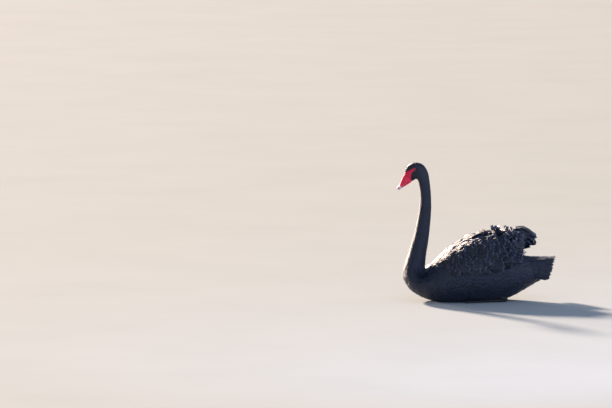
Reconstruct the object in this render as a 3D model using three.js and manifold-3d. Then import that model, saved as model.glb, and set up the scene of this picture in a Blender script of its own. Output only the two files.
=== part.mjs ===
// A life-size black swan at rest on its belly, as a museum model shows it.
// Millimetres, +Z up, the bird faces -X, its left side is -Y.
// The origin is the middle of the flat under the belly, on the floor.
import * as THREE from "three";
import { mergeVertices } from "three/addons/utils/BufferGeometryUtils.js";
import Module from "manifold-3d";

const wasm = await Module();
wasm.setup();

// Driving sizes
const GAP = 0.3; // between neighbouring pieces
const BODY_SIDES = 24;
const NECK_SIDES = 16;
const HEAD_SIDES = 20;
const FLOOR_DEPTH = 60; // how far the floor cutter reaches down
const BIG = 1000;

// The body as sections from the tail end to the bill. Each row is the point on the back line
// (x, z), the point on the belly line (x, z), the half width, and how far the widest place
// sits below the middle, as a share of the half height.
const BODY = [
  [[343, 150], [341, 122], 10, 0],
  [[326, 171], [324, 101], 42, 0],
  [[286, 184], [286, 79], 68, 0.05],
  [[230, 200], [235, 50], 91, 0.1],
  [[160, 226], [170, 16], 112, 0.15],
  [[80, 252], [95, -3], 124, 0.2],
  [[0, 266], [10, -10], 128, 0.2],
  [[-70, 250], [-80, -9], 123, 0.2],
  [[-130, 205], [-165, 2], 112, 0.15],
  [[-172, 167], [-232, 27], 98, 0.1],
  [[-193, 149], [-278, 62], 82, 0.05],
  [[-202, 145], [-300, 105], 67, 0],
  [[-203, 154], [-299, 142], 54, 0],
  [[-201, 182], [-289, 178], 45.5, 0],
  [[-197, 218], [-275, 220], 39, 0],
  [[-190, 258], [-261, 265], 35, 0],
  [[-184, 306], [-248, 311], 32, 0],
  [[-179, 358], [-238.5, 360], 29.5, 0],
  [[-176, 405], [-231, 405], 27, 0],
  [[-176, 446], [-226, 446], 24.5, 0],
  [[-178, 486], [-227, 488], 23.5, 0],
  [[-182, 524], [-233, 522], 23.5, 0],
  [[-187, 560], [-236.5, 537], 24, 0.05],
  [[-196, 584], [-239, 541], 25, -0.1],
  [[-208, 602], [-241.5, 543], 25.5, -0.2],
  [[-225, 613.5], [-244.5, 543], 25.5, -0.22],
  [[-246.5, 616.8], [-248, 541.5], 25, -0.2],
  [[-268.5, 611], [-252, 539], 23.5, -0.16],
  [[-284.5, 598], [-256, 536], 21, -0.1],
  [[-293, 579], [-260.5, 533], 17.5, -0.05],
  [[-294.9, 562.8], [-265, 530.5], 14.8, 0],
];
// Places along the rows above where one piece ends and the next begins
const TORSO_END = 13;
const NECK_LOW_END = 15.2;
const NECK_MID_END = 18;
const NECK_TOP_END = 20.9;
const HEAD_END = BODY.length - 1;
const GAP_IN_ROWS = 0.01;

// The bill, along its own axis from the bill base
const BILL_BASE = new THREE.Vector3(-277, 0, 543.5);
const BILL_AXIS = new THREE.Vector3(-0.738, 0, -0.675).normalize();
const BILL_UP = new THREE.Vector3(-0.675, 0, 0.738).normalize();
// Each row: distance along the axis, culmen height, mouth line height, chin height, half width
const BILL = [
  [0.3, 26.6, -9, -18, 14.8],
  [8, 25.2, -8.4, -17.4, 14.2],
  [18, 21.6, -7.4, -15.6, 13.4],
  [30, 16, -6, -13, 12.8],
  [42, 10.6, -4.8, -10.6, 13.2],
  [52, 8.3, -4, -9, 13.4],
  [59, 7, -3.8, -8, 11.6],
  [64, 4.4, -4.2, -7, 7.2],
  [66.6, 0.8, -4.6, -6, 2.8],
];
const BILL_SIDES = 12;
const LOWER_INSET = 1.3; // the lower bill sits inside the upper one
const LOWER_ROWS = 8; // and ends short of the nail
const NOSTRIL = { along: 27, up: 3.4, side: 11, length: 9, height: 3.2, depth: 4 };

// Eyes
const EYE = { x: -250.5, z: 585.5, y: 17.4, radius: 7.2, lid: 1.5 };
const LID_SHAPE = [1.12, 0.98, 0.9]; // the lid's length, depth and height, in lid radii
const LID_OPENING = [0.82, 1, 0.7]; // the same of the opening, in eye radii

// Feet, tucked under the flanks
const FOOT = {
  toes: [
    [[64, 76, 5.2], [16, 64, 3.9], [-12, 60, 2.2]],
    [[64, 76, 5.2], [10, 82, 4.2], [-44, 84, 2.2]],
    [[64, 76, 5.2], [14, 96, 3.9], [-30, 106, 2.2]],
  ],
  toeRadii: [5.4, 4.6, 2.6],
  hind: [[70, 72, 4], [82, 58, 2.4], [88, 52, 1.6]],
  hindRadii: [3.6, 3, 1.8],
  tarsus: [[64, 76, 6.4], [84, 73, 6.4], [128, 68, 8], [150, 66, 10]],
  tarsusRadii: [6.6, 5.6, 6.3, 9.5],
  thigh: [[155, 66, 10], [146, 67, 17], [112, 69, 33]],
  thighRadii: [5.7, 9.5, 14.2],
  end: 88, // the foot's rear end, behind which the shank is free
  webLow: 0.4,
  webThick: 2.4,
};
// The right web's outline from above: start, corners at the toe tips with the bays between
const WEB = {
  root: [64, 72],
  inner: [-10, 60],
  innerBay: [2, 72],
  middle: [-40, 84],
  outerBay: [-6, 94],
  outer: [-28, 106],
  rootOuter: [64, 80],
};
const POCKET = 0.6; // room the belly leaves round the feet

// The folded wing's outer face, out to the feathers. Each row is x, the half width at the lower
// edge, the height of the lower edge, the height of the top edge, and the top edge's distance
// from the midline.
const WING = [
  [-172, 62, 160, 171, 50],
  [-150, 86, 148, 196, 38],
  [-118, 114, 141, 230, 25],
  [-75, 131, 140, 262, 16],
  [-20, 138, 146, 287, 10],
  [40, 137, 156, 300, 8],
  [95, 130, 168, 300, 10],
  [145, 116, 181, 306, 15],
  [185, 101, 193, 320, 22],
  [212, 86, 205, 300, 26],
];
const WING_MIDLINE = 0.4;
const CORE_INSET = 13; // the feathers stand this far out of the wing's core
const CORE_END = 7.9; // row of the table above where the core ends
const CORE_FRONT = 0.3; // share of the inset at the core's front end
const WING_MIDDLE_Z = 150;
const VANE_THICK = 1.3;
const ROOT_SINK = 6;

// Feathers of the wing in tiers, front to back: row of the wing table, first and last place round
// the wing in radians, how many, length, width, lift off the wing, curl and ruffle height. The
// tiers with trail hang over the rump, and trail further on the right wing.
const WING_TIERS = [
  { row: 0.15, from: 0.35, to: 1.2, count: 2, length: 48, width: 50, lift: 0.14, curl: 0, ruffle: 0.5 },
  { row: 1.2, from: 0.3, to: 1.35, count: 3, length: 60, width: 56, lift: 0.2, curl: -0.1, ruffle: 1 },
  { row: 2.4, from: 0.22, to: 1.42, count: 4, length: 70, width: 58, lift: 0.2, curl: -0.1, ruffle: 2 },
  { row: 3.5, from: 0.2, to: 1.42, count: 4, length: 78, width: 64, lift: 0.22, curl: -0.1, ruffle: 3 },
  { row: 4.6, from: 0.18, to: 1.42, count: 4, length: 82, width: 68, lift: 0.24, curl: -0.1, ruffle: 5 },
  { row: 5.6, from: 0.18, to: 1.42, count: 5, length: 82, width: 62, lift: 0.3, curl: -0.3, ruffle: 6.5 },
  { row: 6.5, from: 0.18, to: 1.42, count: 5, length: 78, width: 60, lift: 0.34, curl: -0.6, ruffle: 6.5 },
  { row: 7.4, from: 0.3, to: 1.38, count: 5, length: 82, width: 62, lift: 0.5, curl: -1.3, ruffle: 6.5,
    trail: true },
];
const PLAIN_TIERS = 3; // tiers at the front whose feathers lie flat
// Curled feathers that stand up along the top: row of the wing table and place round the wing
const CRESTS = [
  { row: 5.5, turn: 1.42, length: 44, width: 40, lift: 0.35, curl: 1.0, ruffle: 3 },
  { row: 6.7, turn: 1.3, length: 52, width: 50, lift: 0.5, curl: 0.3, ruffle: 6 },
];
// Folded flight feathers, under the ruffled ones
const FLIGHT = { x: 176, y: 34, z: 214, count: 4, length: 70, width: 22, apart: 9 };
// The right wing lies a little further back than the left
const RIGHT_BACK = 1.8;
const LEFT_BACK = 1;

// The tail: a tent of feathers over the stern
const TAIL = {
  rootX: 226,
  rootRadius: 54,
  rootHeight: 136,
  tipX: 379,
  tipShort: 40,
  tipWide: 80,
  tipHeight: 117,
  tipRise: 76,
  spread: 1.85,
  count: 11,
  width: 46,
  coreThick: 7,
};

// Colours
const PLUMAGE = { color: 0x1b1c22, roughness: 0.7, metalness: 0 };
const RUFFLE = { color: 0x26262b, roughness: 0.65, metalness: 0 };
const BILL_RED = { color: 0xb5122b, roughness: 0.4, metalness: 0 };
const EYE_RED = { color: 0x7c1512, roughness: 0.08, metalness: 0 };
const SHANK = { color: 0x2b2b2d, roughness: 0.6, metalness: 0 };

// A smooth value at a fractional row of a table: a Catmull-Rom curve through the rows.
function between(a, b, c, d, f) {
  return (
    b +
    0.5 * f * (c - a + f * (2 * a - 5 * b + 4 * c - d + f * (3 * (b - c) + d - a)))
  );
}

function tableAt(rows, t) {
  const flat = rows.map((row) => row.flat());
  const last = flat.length - 1;
  const i = Math.min(Math.floor(t), last - 1);
  const row = (k, c) => {
    if (k < 0) return 2 * flat[0][c] - flat[1][c];
    if (k > last) return 2 * flat[last][c] - flat[last - 1][c];
    return flat[k][c];
  };
  return flat[0].map((_, c) =>
    between(row(i - 1, c), row(i, c), row(i + 1, c), row(i + 2, c), t - i),
  );
}

// A closed solid from rings of points, each ring closed by a fan to its middle.
function loft(rings) {
  const sides = rings[0].length;
  const points = rings.flat();
  const middle = (ring) =>
    ring.reduce((s, p) => s.add(p), new THREE.Vector3()).divideScalar(sides);
  const first = points.push(middle(rings[0])) - 1;
  const last = points.push(middle(rings[rings.length - 1])) - 1;
  const triangles = [];
  for (let j = 0; j < sides; j++) {
    const k = (j + 1) % sides;
    triangles.push([first, k, j]);
    const end = (rings.length - 1) * sides;
    triangles.push([last, end + j, end + k]);
    for (let i = 0; i + 1 < rings.length; i++) {
      const a = i * sides;
      const b = a + sides;
      triangles.push([a + j, a + k, b + k], [a + j, b + k, b + j]);
    }
  }
  return solidOf(points, triangles);
}

function solidOf(points, triangles) {
  const geometry = new THREE.BufferGeometry()
    .setAttribute(
      "position",
      new THREE.Float32BufferAttribute(points.flatMap((p) => p.toArray()), 3),
    )
    .setIndex(triangles.flat());
  return fromGeometry(geometry);
}

function fromGeometry(geometry) {
  const bare = geometry.clone();
  bare.deleteAttribute("normal");
  bare.deleteAttribute("uv");
  const merged = mergeVertices(bare, 1e-4);
  const build = (index) =>
    new wasm.Manifold(
      new wasm.Mesh({
        numProp: 3,
        vertProperties: new Float32Array(merged.attributes.position.array),
        triVerts: index,
      }),
    );
  const index = new Uint32Array(merged.index.array);
  const made = build(index);
  if (made.volume() > 0) return made;
  for (let i = 0; i < index.length; i += 3)
    [index[i + 1], index[i + 2]] = [index[i + 2], index[i + 1]];
  return build(index);
}

function box(low, high) {
  const [a, b] = [new THREE.Vector3(...low), new THREE.Vector3(...high)];
  const size = b.clone().sub(a);
  const geometry = new THREE.BoxGeometry(size.x, size.y, size.z);
  const middle = a.add(b).multiplyScalar(0.5);
  return fromGeometry(geometry.translate(middle.x, middle.y, middle.z));
}

function ball(centre, radii, wide = 14, high = 10) {
  const geometry = new THREE.SphereGeometry(1, wide, high);
  return fromGeometry(geometry.scale(...radii).translate(...centre));
}

// A tapered round limb through points that each carry a radius.
function limb(points, radii, sides = 8, grow = 0) {
  const path = points.map((p) => new THREE.Vector3(...p));
  const up = new THREE.Vector3(0, 0, 1);
  const rings = path.map((p, i) => {
    const ahead = path[Math.min(i + 1, path.length - 1)];
    const behind = path[Math.max(i - 1, 0)];
    const along = ahead.clone().sub(behind).normalize();
    const side = new THREE.Vector3().crossVectors(along, up).normalize();
    const over = new THREE.Vector3().crossVectors(side, along);
    const r = radii[i] + grow;
    const end = i === 0 ? -grow : i === path.length - 1 ? grow : 0;
    return Array.from({ length: sides }, (_, j) => {
      const angle = (2 * Math.PI * (j + 0.5)) / sides;
      return p
        .clone()
        .addScaledVector(along, end)
        .addScaledVector(side, r * Math.cos(angle))
        .addScaledVector(over, r * Math.sin(angle));
    });
  });
  return loft(rings);
}

const joined = (solids) => solids.reduce((a, b) => a.add(b));
const mirrored = (solid) => solid.mirror([0, 1, 0]);

// The largest closed surface: it fills sealed hollows and drops loose scraps.
function largest(solid) {
  return solid.decompose().reduce((a, b) => (a.volume() > b.volume() ? a : b));
}

// One section of the body at a fractional row, pushed out by grow.
function bodyRing(t, sides, grow = 0) {
  const [ux, uz, lx, lz, half, low] = tableAt(BODY, t);
  const back = new THREE.Vector3(ux, 0, uz);
  const belly = new THREE.Vector3(lx, 0, lz);
  const middle = back.clone().add(belly).multiplyScalar(0.5);
  const reach = back.sub(belly).multiplyScalar(0.5);
  reach.setLength(reach.length() + grow);
  return Array.from({ length: sides }, (_, j) => {
    const angle = (2 * Math.PI * j) / sides;
    const c = Math.cos(angle);
    const s = Math.sin(angle);
    return middle
      .clone()
      .addScaledVector(reach, c - low * s * s)
      .add(new THREE.Vector3(0, (half + grow) * s, 0));
  });
}

function bodyLength(from, to, steps, sides, grow = 0) {
  const rings = [];
  for (let i = 0; i <= steps; i++)
    rings.push(bodyRing(from + ((to - from) * i) / steps, sides, grow));
  return loft(rings);
}

const floorCut = box([-BIG, -BIG, -FLOOR_DEPTH], [BIG, BIG, 0]);

// Torso
function torsoForm(grow) {
  return bodyLength(0, TORSO_END - GAP_IN_ROWS, 18, BODY_SIDES, grow);
}

function eyeCentre(side) {
  return [EYE.x, side * EYE.y, EYE.z];
}

// Head: the crown and cheeks, with a raised lid round each eye and a socket behind it
function head() {
  let solid = bodyLength(NECK_TOP_END + GAP_IN_ROWS, HEAD_END, 13, HEAD_SIDES);
  for (const side of [-1, 1]) {
    const lidRadii = LID_SHAPE.map((f) => f * (EYE.radius + EYE.lid));
    const openingRadii = LID_OPENING.map((f) => f * EYE.radius);
    const lid = ball(eyeCentre(side), lidRadii, 12, 8);
    const socket = ball(eyeCentre(side), Array(3).fill(EYE.radius + GAP), 12, 8);
    const front = [EYE.x, side * (EYE.y + EYE.radius), EYE.z];
    const opening = ball(front, openingRadii, 12, 6);
    solid = solid.add(lid).subtract(socket).subtract(opening);
  }
  return largest(solid);
}

function eye(side) {
  return ball(eyeCentre(side), Array(3).fill(EYE.radius - 0.1), 12, 8);
}

// Bill
function billPoint(along, up, side) {
  return BILL_BASE.clone()
    .addScaledVector(BILL_AXIS, along)
    .addScaledVector(BILL_UP, up)
    .add(new THREE.Vector3(0, side, 0));
}

function billUpper() {
  const rings = BILL.map(([s, top, mouth, , half]) => {
    const arch = Array.from({ length: BILL_SIDES + 1 }, (_, j) => {
      const angle = (Math.PI * j) / BILL_SIDES;
      const up = mouth + (top - mouth) * Math.sin(angle) ** 0.85;
      return billPoint(s, up, half * Math.cos(angle));
    });
    const palate = [-0.6, 0, 0.6].map((f) => billPoint(s, mouth + 0.8, half * f));
    return [...arch, ...palate];
  });
  let solid = loft(rings);
  for (const side of [-1, 1]) {
    const at = billPoint(NOSTRIL.along, NOSTRIL.up, side * NOSTRIL.side);
    const tilt = Math.atan2(-BILL_AXIS.z, -BILL_AXIS.x);
    const geometry = new THREE.SphereGeometry(1, 8, 6)
      .scale(NOSTRIL.length / 2, NOSTRIL.depth / 2, NOSTRIL.height / 2)
      .rotateY(-tilt)
      .translate(at.x, at.y, at.z);
    solid = solid.subtract(fromGeometry(geometry));
  }
  return largest(solid);
}

function billLower() {
  const rings = BILL.slice(0, LOWER_ROWS).map(([s, , mouth, chin, half]) => {
    const wide = half - LOWER_INSET;
    const lip = mouth - GAP;
    return Array.from({ length: BILL_SIDES }, (_, j) => {
      const angle = (Math.PI * j) / (BILL_SIDES - 1);
      const up = lip + (chin - lip) * Math.sin(angle) ** 0.8;
      return billPoint(s, up, wide * Math.cos(angle));
    });
  });
  return loft(rings);
}

// Legs and feet, for the right side; the left is mirrored
function foot(grow) {
  const toes = FOOT.toes.map((path) => limb(path, FOOT.toeRadii, 8, grow));
  const hind = limb(FOOT.hind, FOOT.hindRadii, 8, grow);
  const front = 2 * grow;
  const web = new THREE.Shape();
  web.moveTo(...WEB.root);
  web.lineTo(WEB.inner[0] - front, WEB.inner[1] - grow);
  web.quadraticCurveTo(WEB.innerBay[0] - front, WEB.innerBay[1], WEB.middle[0] - front, WEB.middle[1]);
  web.quadraticCurveTo(
    WEB.outerBay[0] - front,
    WEB.outerBay[1],
    WEB.outer[0] - front,
    WEB.outer[1] + grow,
  );
  web.lineTo(...WEB.rootOuter);
  const plate = new THREE.ExtrudeGeometry(web, {
    depth: FOOT.webThick + 2 * grow,
    bevelEnabled: false,
    curveSegments: 3,
  }).translate(0, 0, FOOT.webLow - grow);
  return joined([...toes, hind, fromGeometry(plate)]);
}

function shank(grow) {
  const tarsus = limb(FOOT.tarsus, FOOT.tarsusRadii, 8, grow);
  return tarsus.add(limb(FOOT.thigh, FOOT.thighRadii, 8, grow));
}

const footRoom = box([-BIG, -BIG, -BIG], [FOOT.end, BIG, BIG]);
const rightFoot = largest(foot(0).intersect(footRoom).subtract(floorCut));
const rightShank = largest(shank(0).subtract(floorCut).subtract(foot(GAP)));

// A thin closed plate between two grids of points, split into triangles alike on both faces.
function plate(top, bottom) {
  const rows = top.length;
  const cols = top[0].length;
  const points = [...top.flat(), ...bottom.flat()];
  const under = rows * cols;
  const triangles = [];
  const quad = (a, b, c, d) => triangles.push([a, b, c], [a, c, d]);
  for (let i = 0; i + 1 < rows; i++) {
    for (let j = 0; j + 1 < cols; j++) {
      const a = i * cols + j;
      triangles.push([a, a + 1, a + cols + 1], [a, a + cols + 1, a + cols]);
      const b = a + under;
      triangles.push([b, b + cols + 1, b + 1], [b, b + cols, b + cols + 1]);
    }
    const left = i * cols;
    const right = left + cols - 1;
    quad(left, left + cols, left + cols + under, left + under);
    quad(right + cols, right, right + under, right + cols + under);
  }
  const last = (rows - 1) * cols;
  for (let j = 0; j + 1 < cols; j++) {
    quad(j + 1, j, j + under, j + 1 + under);
    quad(last + j, last + j + 1, last + j + 1 + under, last + j + under);
  }
  return solidOf(points, triangles);
}

// A feather: a plate along an arc, broad and blunt at the tip, arched across, its free end
// waved from side to side.
function vane(root, along, out, f) {
  const across = new THREE.Vector3().crossVectors(out, along).normalize();
  const up = new THREE.Vector3().crossVectors(along, across).normalize();
  const steps = f.steps;
  const cols = f.cols ?? 4;
  const thick = f.thick ?? VANE_THICK;
  const top = [];
  const bottom = [];
  let middle = root.clone();
  for (let i = 0; i <= steps; i++) {
    const u = i / steps;
    const angle = f.lift + f.curl * u ** 1.4;
    const ahead = along.clone().multiplyScalar(Math.cos(angle)).addScaledVector(up, Math.sin(angle));
    const over = up.clone().multiplyScalar(Math.cos(angle)).addScaledVector(along, -Math.sin(angle));
    if (i > 0) middle = middle.clone().addScaledVector(ahead, f.length / steps);
    const half = 0.5 * f.width * (0.42 + 0.58 * Math.sin(Math.PI * Math.min(0.5, u / 1.3))) *
      (u === 1 ? 0.8 : 1);
    const row = Array.from({ length: cols }, (_, j) => {
      const v = (2 * j) / (cols - 1) - 1;
      const wave = f.ruffle * u * u * Math.sin(Math.PI * 1.6 * v + f.phase);
      return middle
        .clone()
        .addScaledVector(across, half * v)
        .addScaledVector(over, wave - 0.1 * f.width * v * v)
        .addScaledVector(ahead, u === 1 ? -0.16 * f.width * v * v : 0);
    });
    top.push(row);
    bottom.push(row.map((p) => p.clone().addScaledVector(over, -thick)));
  }
  return plate(top, bottom);
}

// The same spread of chances each time
function seeded(seed) {
  let state = seed;
  return () => {
    state = (state * 16807) % 2147483647;
    return state / 2147483647;
  };
}

// Wing: a core between the torso and the wing's outer face, with its feathers in tiers
const WING_SIDES = 8;
function wingFace(row, turn, inset = 0) {
  const [x, wide, low, top, apart] = tableAt(WING, row);
  return new THREE.Vector3(
    x,
    apart + (wide - inset - apart) * Math.cos(turn) ** 0.9,
    low + (top - inset - low) * Math.sin(turn) ** 0.95,
  );
}

function wingFrame(row, turn) {
  const step = 0.05;
  const at = wingFace(row, turn, CORE_INSET);
  const back = wingFace(row + step, turn, CORE_INSET).sub(wingFace(row - step, turn, CORE_INSET));
  const round = wingFace(row, turn + step, CORE_INSET).sub(wingFace(row, turn - step, CORE_INSET));
  const along = back.normalize();
  const out = new THREE.Vector3().crossVectors(round, along).normalize();
  if (out.y * at.y + out.z * (at.z - WING_MIDDLE_Z) < 0) out.negate();
  return { at, along, out };
}

function wingCore() {
  const rings = [];
  const steps = 12;
  for (let i = 0; i <= steps; i++) {
    const row = (CORE_END * i) / steps;
    const inset = CORE_INSET * Math.min(1, CORE_FRONT + i / 4);
    const ring = Array.from({ length: WING_SIDES + 1 }, (_, j) =>
      wingFace(row, (0.5 * Math.PI * j) / WING_SIDES, inset),
    );
    const top = ring[WING_SIDES];
    const low = ring[0];
    ring.push(
      new THREE.Vector3(top.x, WING_MIDLINE, top.z - 6),
      new THREE.Vector3(low.x, WING_MIDLINE, low.z + 4),
      new THREE.Vector3(low.x, low.y * 0.6, low.z - 1),
    );
    rings.push(ring);
  }
  return loft(rings);
}

function wingFeather(place, f) {
  const { at, along, out } = wingFrame(place.row, place.turn);
  const droop = 0.2 * Math.cos(place.turn); // feathers low on the side point down a little
  const lie = along.clone().add(new THREE.Vector3(0, 0, -droop)).normalize();
  return vane(at.addScaledVector(out, -ROOT_SINK), lie, out, f);
}

function wingFeathers(seed, back) {
  const chance = seeded(seed);
  const feathers = [];
  WING_TIERS.forEach((tier, i) => {
    for (let j = 0; j < tier.count; j++) {
      const turn = tier.from + ((tier.to - tier.from) * (j + 0.3 * (i % 2))) / (tier.count - 0.7);
      const place = { row: tier.row + 0.3 * (chance() - 0.5), turn };
      const longer = tier.trail ? back : 1;
      feathers.push(
        wingFeather(place, {
          ...tier,
          length: tier.length * longer * (0.92 + 0.16 * chance()),
          ruffle: tier.ruffle * (0.8 + 0.4 * chance()),
          phase: 2 * Math.PI * chance(),
          steps: i < PLAIN_TIERS ? 2 : 3,
          cols: i < PLAIN_TIERS ? 3 : 4,
        }),
      );
    }
  });
  for (const crest of CRESTS)
    feathers.push(wingFeather(crest, { ...crest, steps: 3, phase: 2 * Math.PI * chance() }));
  for (let k = 0; k < FLIGHT.count; k++) {
    const root = new THREE.Vector3(FLIGHT.x, FLIGHT.y + FLIGHT.apart * k, FLIGHT.z - 2 * k);
    const along = new THREE.Vector3(1, -0.12, 0.02 - 0.02 * k).normalize();
    const f = { length: FLIGHT.length - 8 * k, width: FLIGHT.width, lift: 0, curl: 0 };
    feathers.push(
      vane(root, along, new THREE.Vector3(0, 0.25, 1), { ...f, ruffle: 0, phase: 0, steps: 2, cols: 3 }),
    );
  }
  return feathers;
}

// Tail: a tent of feathers over the stern, on a thin core
function tailPoint(u, beta, extra = 0) {
  const side = Math.abs(beta) / TAIL.spread;
  const tipX = TAIL.tipX - TAIL.tipShort * side ** 1.2;
  const x = TAIL.rootX + (tipX - TAIL.rootX) * u;
  const height = TAIL.rootHeight + (TAIL.tipHeight - TAIL.rootHeight) * u;
  const wide = TAIL.rootRadius + 14 + (TAIL.tipWide - TAIL.rootRadius - 14) * u + extra;
  const rise = TAIL.rootRadius + (TAIL.tipRise - TAIL.rootRadius) * u + extra;
  return new THREE.Vector3(x, wide * Math.sin(beta), height + rise * Math.cos(beta));
}

function tailCore(grow) {
  const arc = (u, extra) =>
    Array.from({ length: 11 }, (_, j) => tailPoint(u, ((j - 5) / 5) * (TAIL.spread - 0.15), extra));
  const rings = [0, 0.3, 0.6].map((u) => [
    ...arc(u, TAIL.coreThick * (1 - u) + grow),
    ...arc(u, -TAIL.coreThick - grow).reverse(),
  ]);
  return loft(rings);
}

function tailFeathers(grow) {
  const feathers = [];
  for (let j = 0; j < TAIL.count; j++) {
    const beta = ((2 * j) / (TAIL.count - 1) - 1) * (TAIL.spread - 0.1);
    const nest = (j % 2) * 2.2;
    const root = tailPoint(0.22, beta, -1.5 - nest);
    const tip = tailPoint(1, beta, -nest);
    const out = new THREE.Vector3(0, Math.sin(beta), Math.cos(beta));
    const f = {
      length: root.distanceTo(tip),
      width: TAIL.width + 2 * grow,
      lift: -0.06,
      curl: 0.12,
      ruffle: 0,
      phase: 0,
      steps: 3,
      cols: 3,
      thick: VANE_THICK + 2 * grow,
    };
    feathers.push(vane(root.addScaledVector(out, grow), tip.sub(root).normalize(), out, f));
  }
  return feathers;
}

// Put together
const grownTorso = torsoForm(GAP);
const pocket = joined([foot(POCKET), shank(POCKET)]);
const legRoom = pocket.add(mirrored(pocket));
const torso = largest(torsoForm(0).subtract(floorCut).subtract(legRoom));
const tail = largest(joined([tailCore(0), ...tailFeathers(0)]).subtract(grownTorso));
const tailRoom = joined([tailCore(GAP), ...tailFeathers(GAP)]);
const rightSide = box([-BIG, WING_MIDLINE, -BIG], [BIG, BIG, BIG]);

function wing(turned, seed, back) {
  const feathered = joined([wingCore(), ...wingFeathers(seed, back)]).intersect(rightSide);
  return largest(turned(feathered).subtract(grownTorso).subtract(tailRoom));
}

function geometryOf(solid) {
  const mesh = solid.getMesh();
  const n = mesh.numProp;
  const points = new Float32Array(mesh.numVert * 3);
  for (let i = 0; i < mesh.numVert; i++)
    points.set(mesh.vertProperties.subarray(i * n, i * n + 3), i * 3);
  const geometry = new THREE.BufferGeometry()
    .setAttribute("position", new THREE.BufferAttribute(points, 3))
    .setIndex(new THREE.BufferAttribute(new Uint32Array(mesh.triVerts), 1));
  geometry.computeVertexNormals();
  return geometry;
}

const swan = new THREE.Group();

function addPiece(name, solid, look) {
  const mesh = new THREE.Mesh(geometryOf(solid), new THREE.MeshStandardMaterial(look));
  mesh.name = name;
  swan.add(mesh);
}

const neck = (from, to, steps) =>
  bodyLength(from + GAP_IN_ROWS, to - GAP_IN_ROWS, steps, NECK_SIDES);

addPiece("torso", torso, PLUMAGE);
addPiece("neck_lower", neck(TORSO_END, NECK_LOW_END, 5), PLUMAGE);
addPiece("neck_middle", neck(NECK_LOW_END, NECK_MID_END, 5), PLUMAGE);
addPiece("neck_upper", neck(NECK_MID_END, NECK_TOP_END, 5), PLUMAGE);
addPiece("head", head(), PLUMAGE);
addPiece("bill_upper", billUpper(), BILL_RED);
addPiece("bill_lower", billLower(), BILL_RED);
addPiece("tail", tail, PLUMAGE);
for (const [name, side, turned, seed, back] of [
  ["left", -1, mirrored, 11, LEFT_BACK],
  ["right", 1, (solid) => solid, 29, RIGHT_BACK],
]) {
  addPiece(`eye_${name}`, eye(side), EYE_RED);
  addPiece(`wing_${name}`, wing(turned, seed, back), RUFFLE);
  addPiece(`leg_${name}`, turned(rightShank), SHANK);
  addPiece(`foot_${name}`, turned(rightFoot), SHANK);
}

export default swan;
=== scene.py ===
import math

import bpy
import numpy as np
from bpy.props import FloatProperty, FloatVectorProperty, IntProperty, PointerProperty
from mathutils import Matrix, Vector


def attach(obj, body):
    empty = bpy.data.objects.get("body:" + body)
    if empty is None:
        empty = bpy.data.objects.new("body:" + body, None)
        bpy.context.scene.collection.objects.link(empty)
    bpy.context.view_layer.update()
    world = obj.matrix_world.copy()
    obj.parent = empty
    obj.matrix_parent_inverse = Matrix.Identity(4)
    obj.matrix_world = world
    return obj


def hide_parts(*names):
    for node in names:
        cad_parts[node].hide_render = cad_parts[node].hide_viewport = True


bl_info = {
    "name": "Black Swan",
    "version": (1, 0, 0),
    "blender": (4, 5, 0),
    "location": "3D View > Sidebar > Swan",
    "description": "Dresses the packed black swan: skin, feathers, bill, eyes and feet",
    "category": "Object",
}

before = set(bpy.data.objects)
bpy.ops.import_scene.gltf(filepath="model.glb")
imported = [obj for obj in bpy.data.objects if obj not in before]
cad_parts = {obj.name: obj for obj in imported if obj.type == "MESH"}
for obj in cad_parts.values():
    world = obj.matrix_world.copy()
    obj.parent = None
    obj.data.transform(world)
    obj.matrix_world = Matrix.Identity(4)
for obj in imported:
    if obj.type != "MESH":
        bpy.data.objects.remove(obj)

MM = 0.001  # metres in a millimetre
IMAGE = (612, 408)  # the photograph's size in pixels
STEP = 0.02  # rows or radians between the points that give a surface's slope
SIDES = (("left", -1), ("right", 1))
FLOOR_CLEAR = 0.6  # how far the lowest feathers and feet stay above the floor
EVEN_STEPS = (0.7548776662, 0.5698402910)  # shares of one that spread places evenly in a square

# The body from the stern to the bill base, in millimetres. Each row is the point on the back
# line (x, z), the point on the belly line (x, z), the half width, and how far the widest place
# sits below the middle, as a share of the half height.
BODY = np.array([
    [343, 150, 341, 122, 10, 0],
    [326, 171, 324, 101, 42, 0],
    [286, 184, 286, 79, 68, 0.05],
    [230, 200, 235, 50, 91, 0.1],
    [160, 226, 170, 16, 112, 0.15],
    [80, 252, 95, -3, 124, 0.2],
    [0, 266, 10, -10, 128, 0.2],
    [-70, 250, -80, -9, 123, 0.2],
    [-130, 205, -165, 2, 112, 0.15],
    [-172, 167, -232, 27, 98, 0.1],
    [-193, 149, -278, 62, 82, 0.05],
    [-202, 145, -300, 105, 67, 0],
    [-203, 154, -299, 142, 54, 0],
    [-201, 182, -289, 178, 45.5, 0],
    [-197, 218, -275, 220, 39, 0],
    [-190, 258, -261, 265, 35, 0],
    [-184, 306, -248, 311, 32, 0],
    [-179, 358, -238.5, 360, 29.5, 0],
    [-176, 405, -231, 405, 27, 0],
    [-176, 446, -226, 446, 24.5, 0],
    [-178, 486, -227, 488, 23.5, 0],
    [-182, 524, -233, 522, 23.5, 0],
    [-187, 560, -236.5, 537, 24, 0.05],
    [-196, 584, -239, 541, 25, -0.1],
    [-208, 602, -241.5, 543, 25.5, -0.2],
    [-225, 613.5, -244.5, 543, 25.5, -0.22],
    [-246.5, 616.8, -248, 541.5, 25, -0.2],
    [-268.5, 611, -252, 539, 23.5, -0.16],
    [-284.5, 598, -256, 536, 21, -0.1],
    [-293, 579, -260.5, 533, 17.5, -0.05],
    [-294.9, 562.8, -265, 530.5, 14.8, 0],
])
# The rows where the torso ends, where the head starts and where it ends
TORSO_END = 12.6
HEAD_START = 21.2
HEAD_END = len(BODY) - 1
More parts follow.
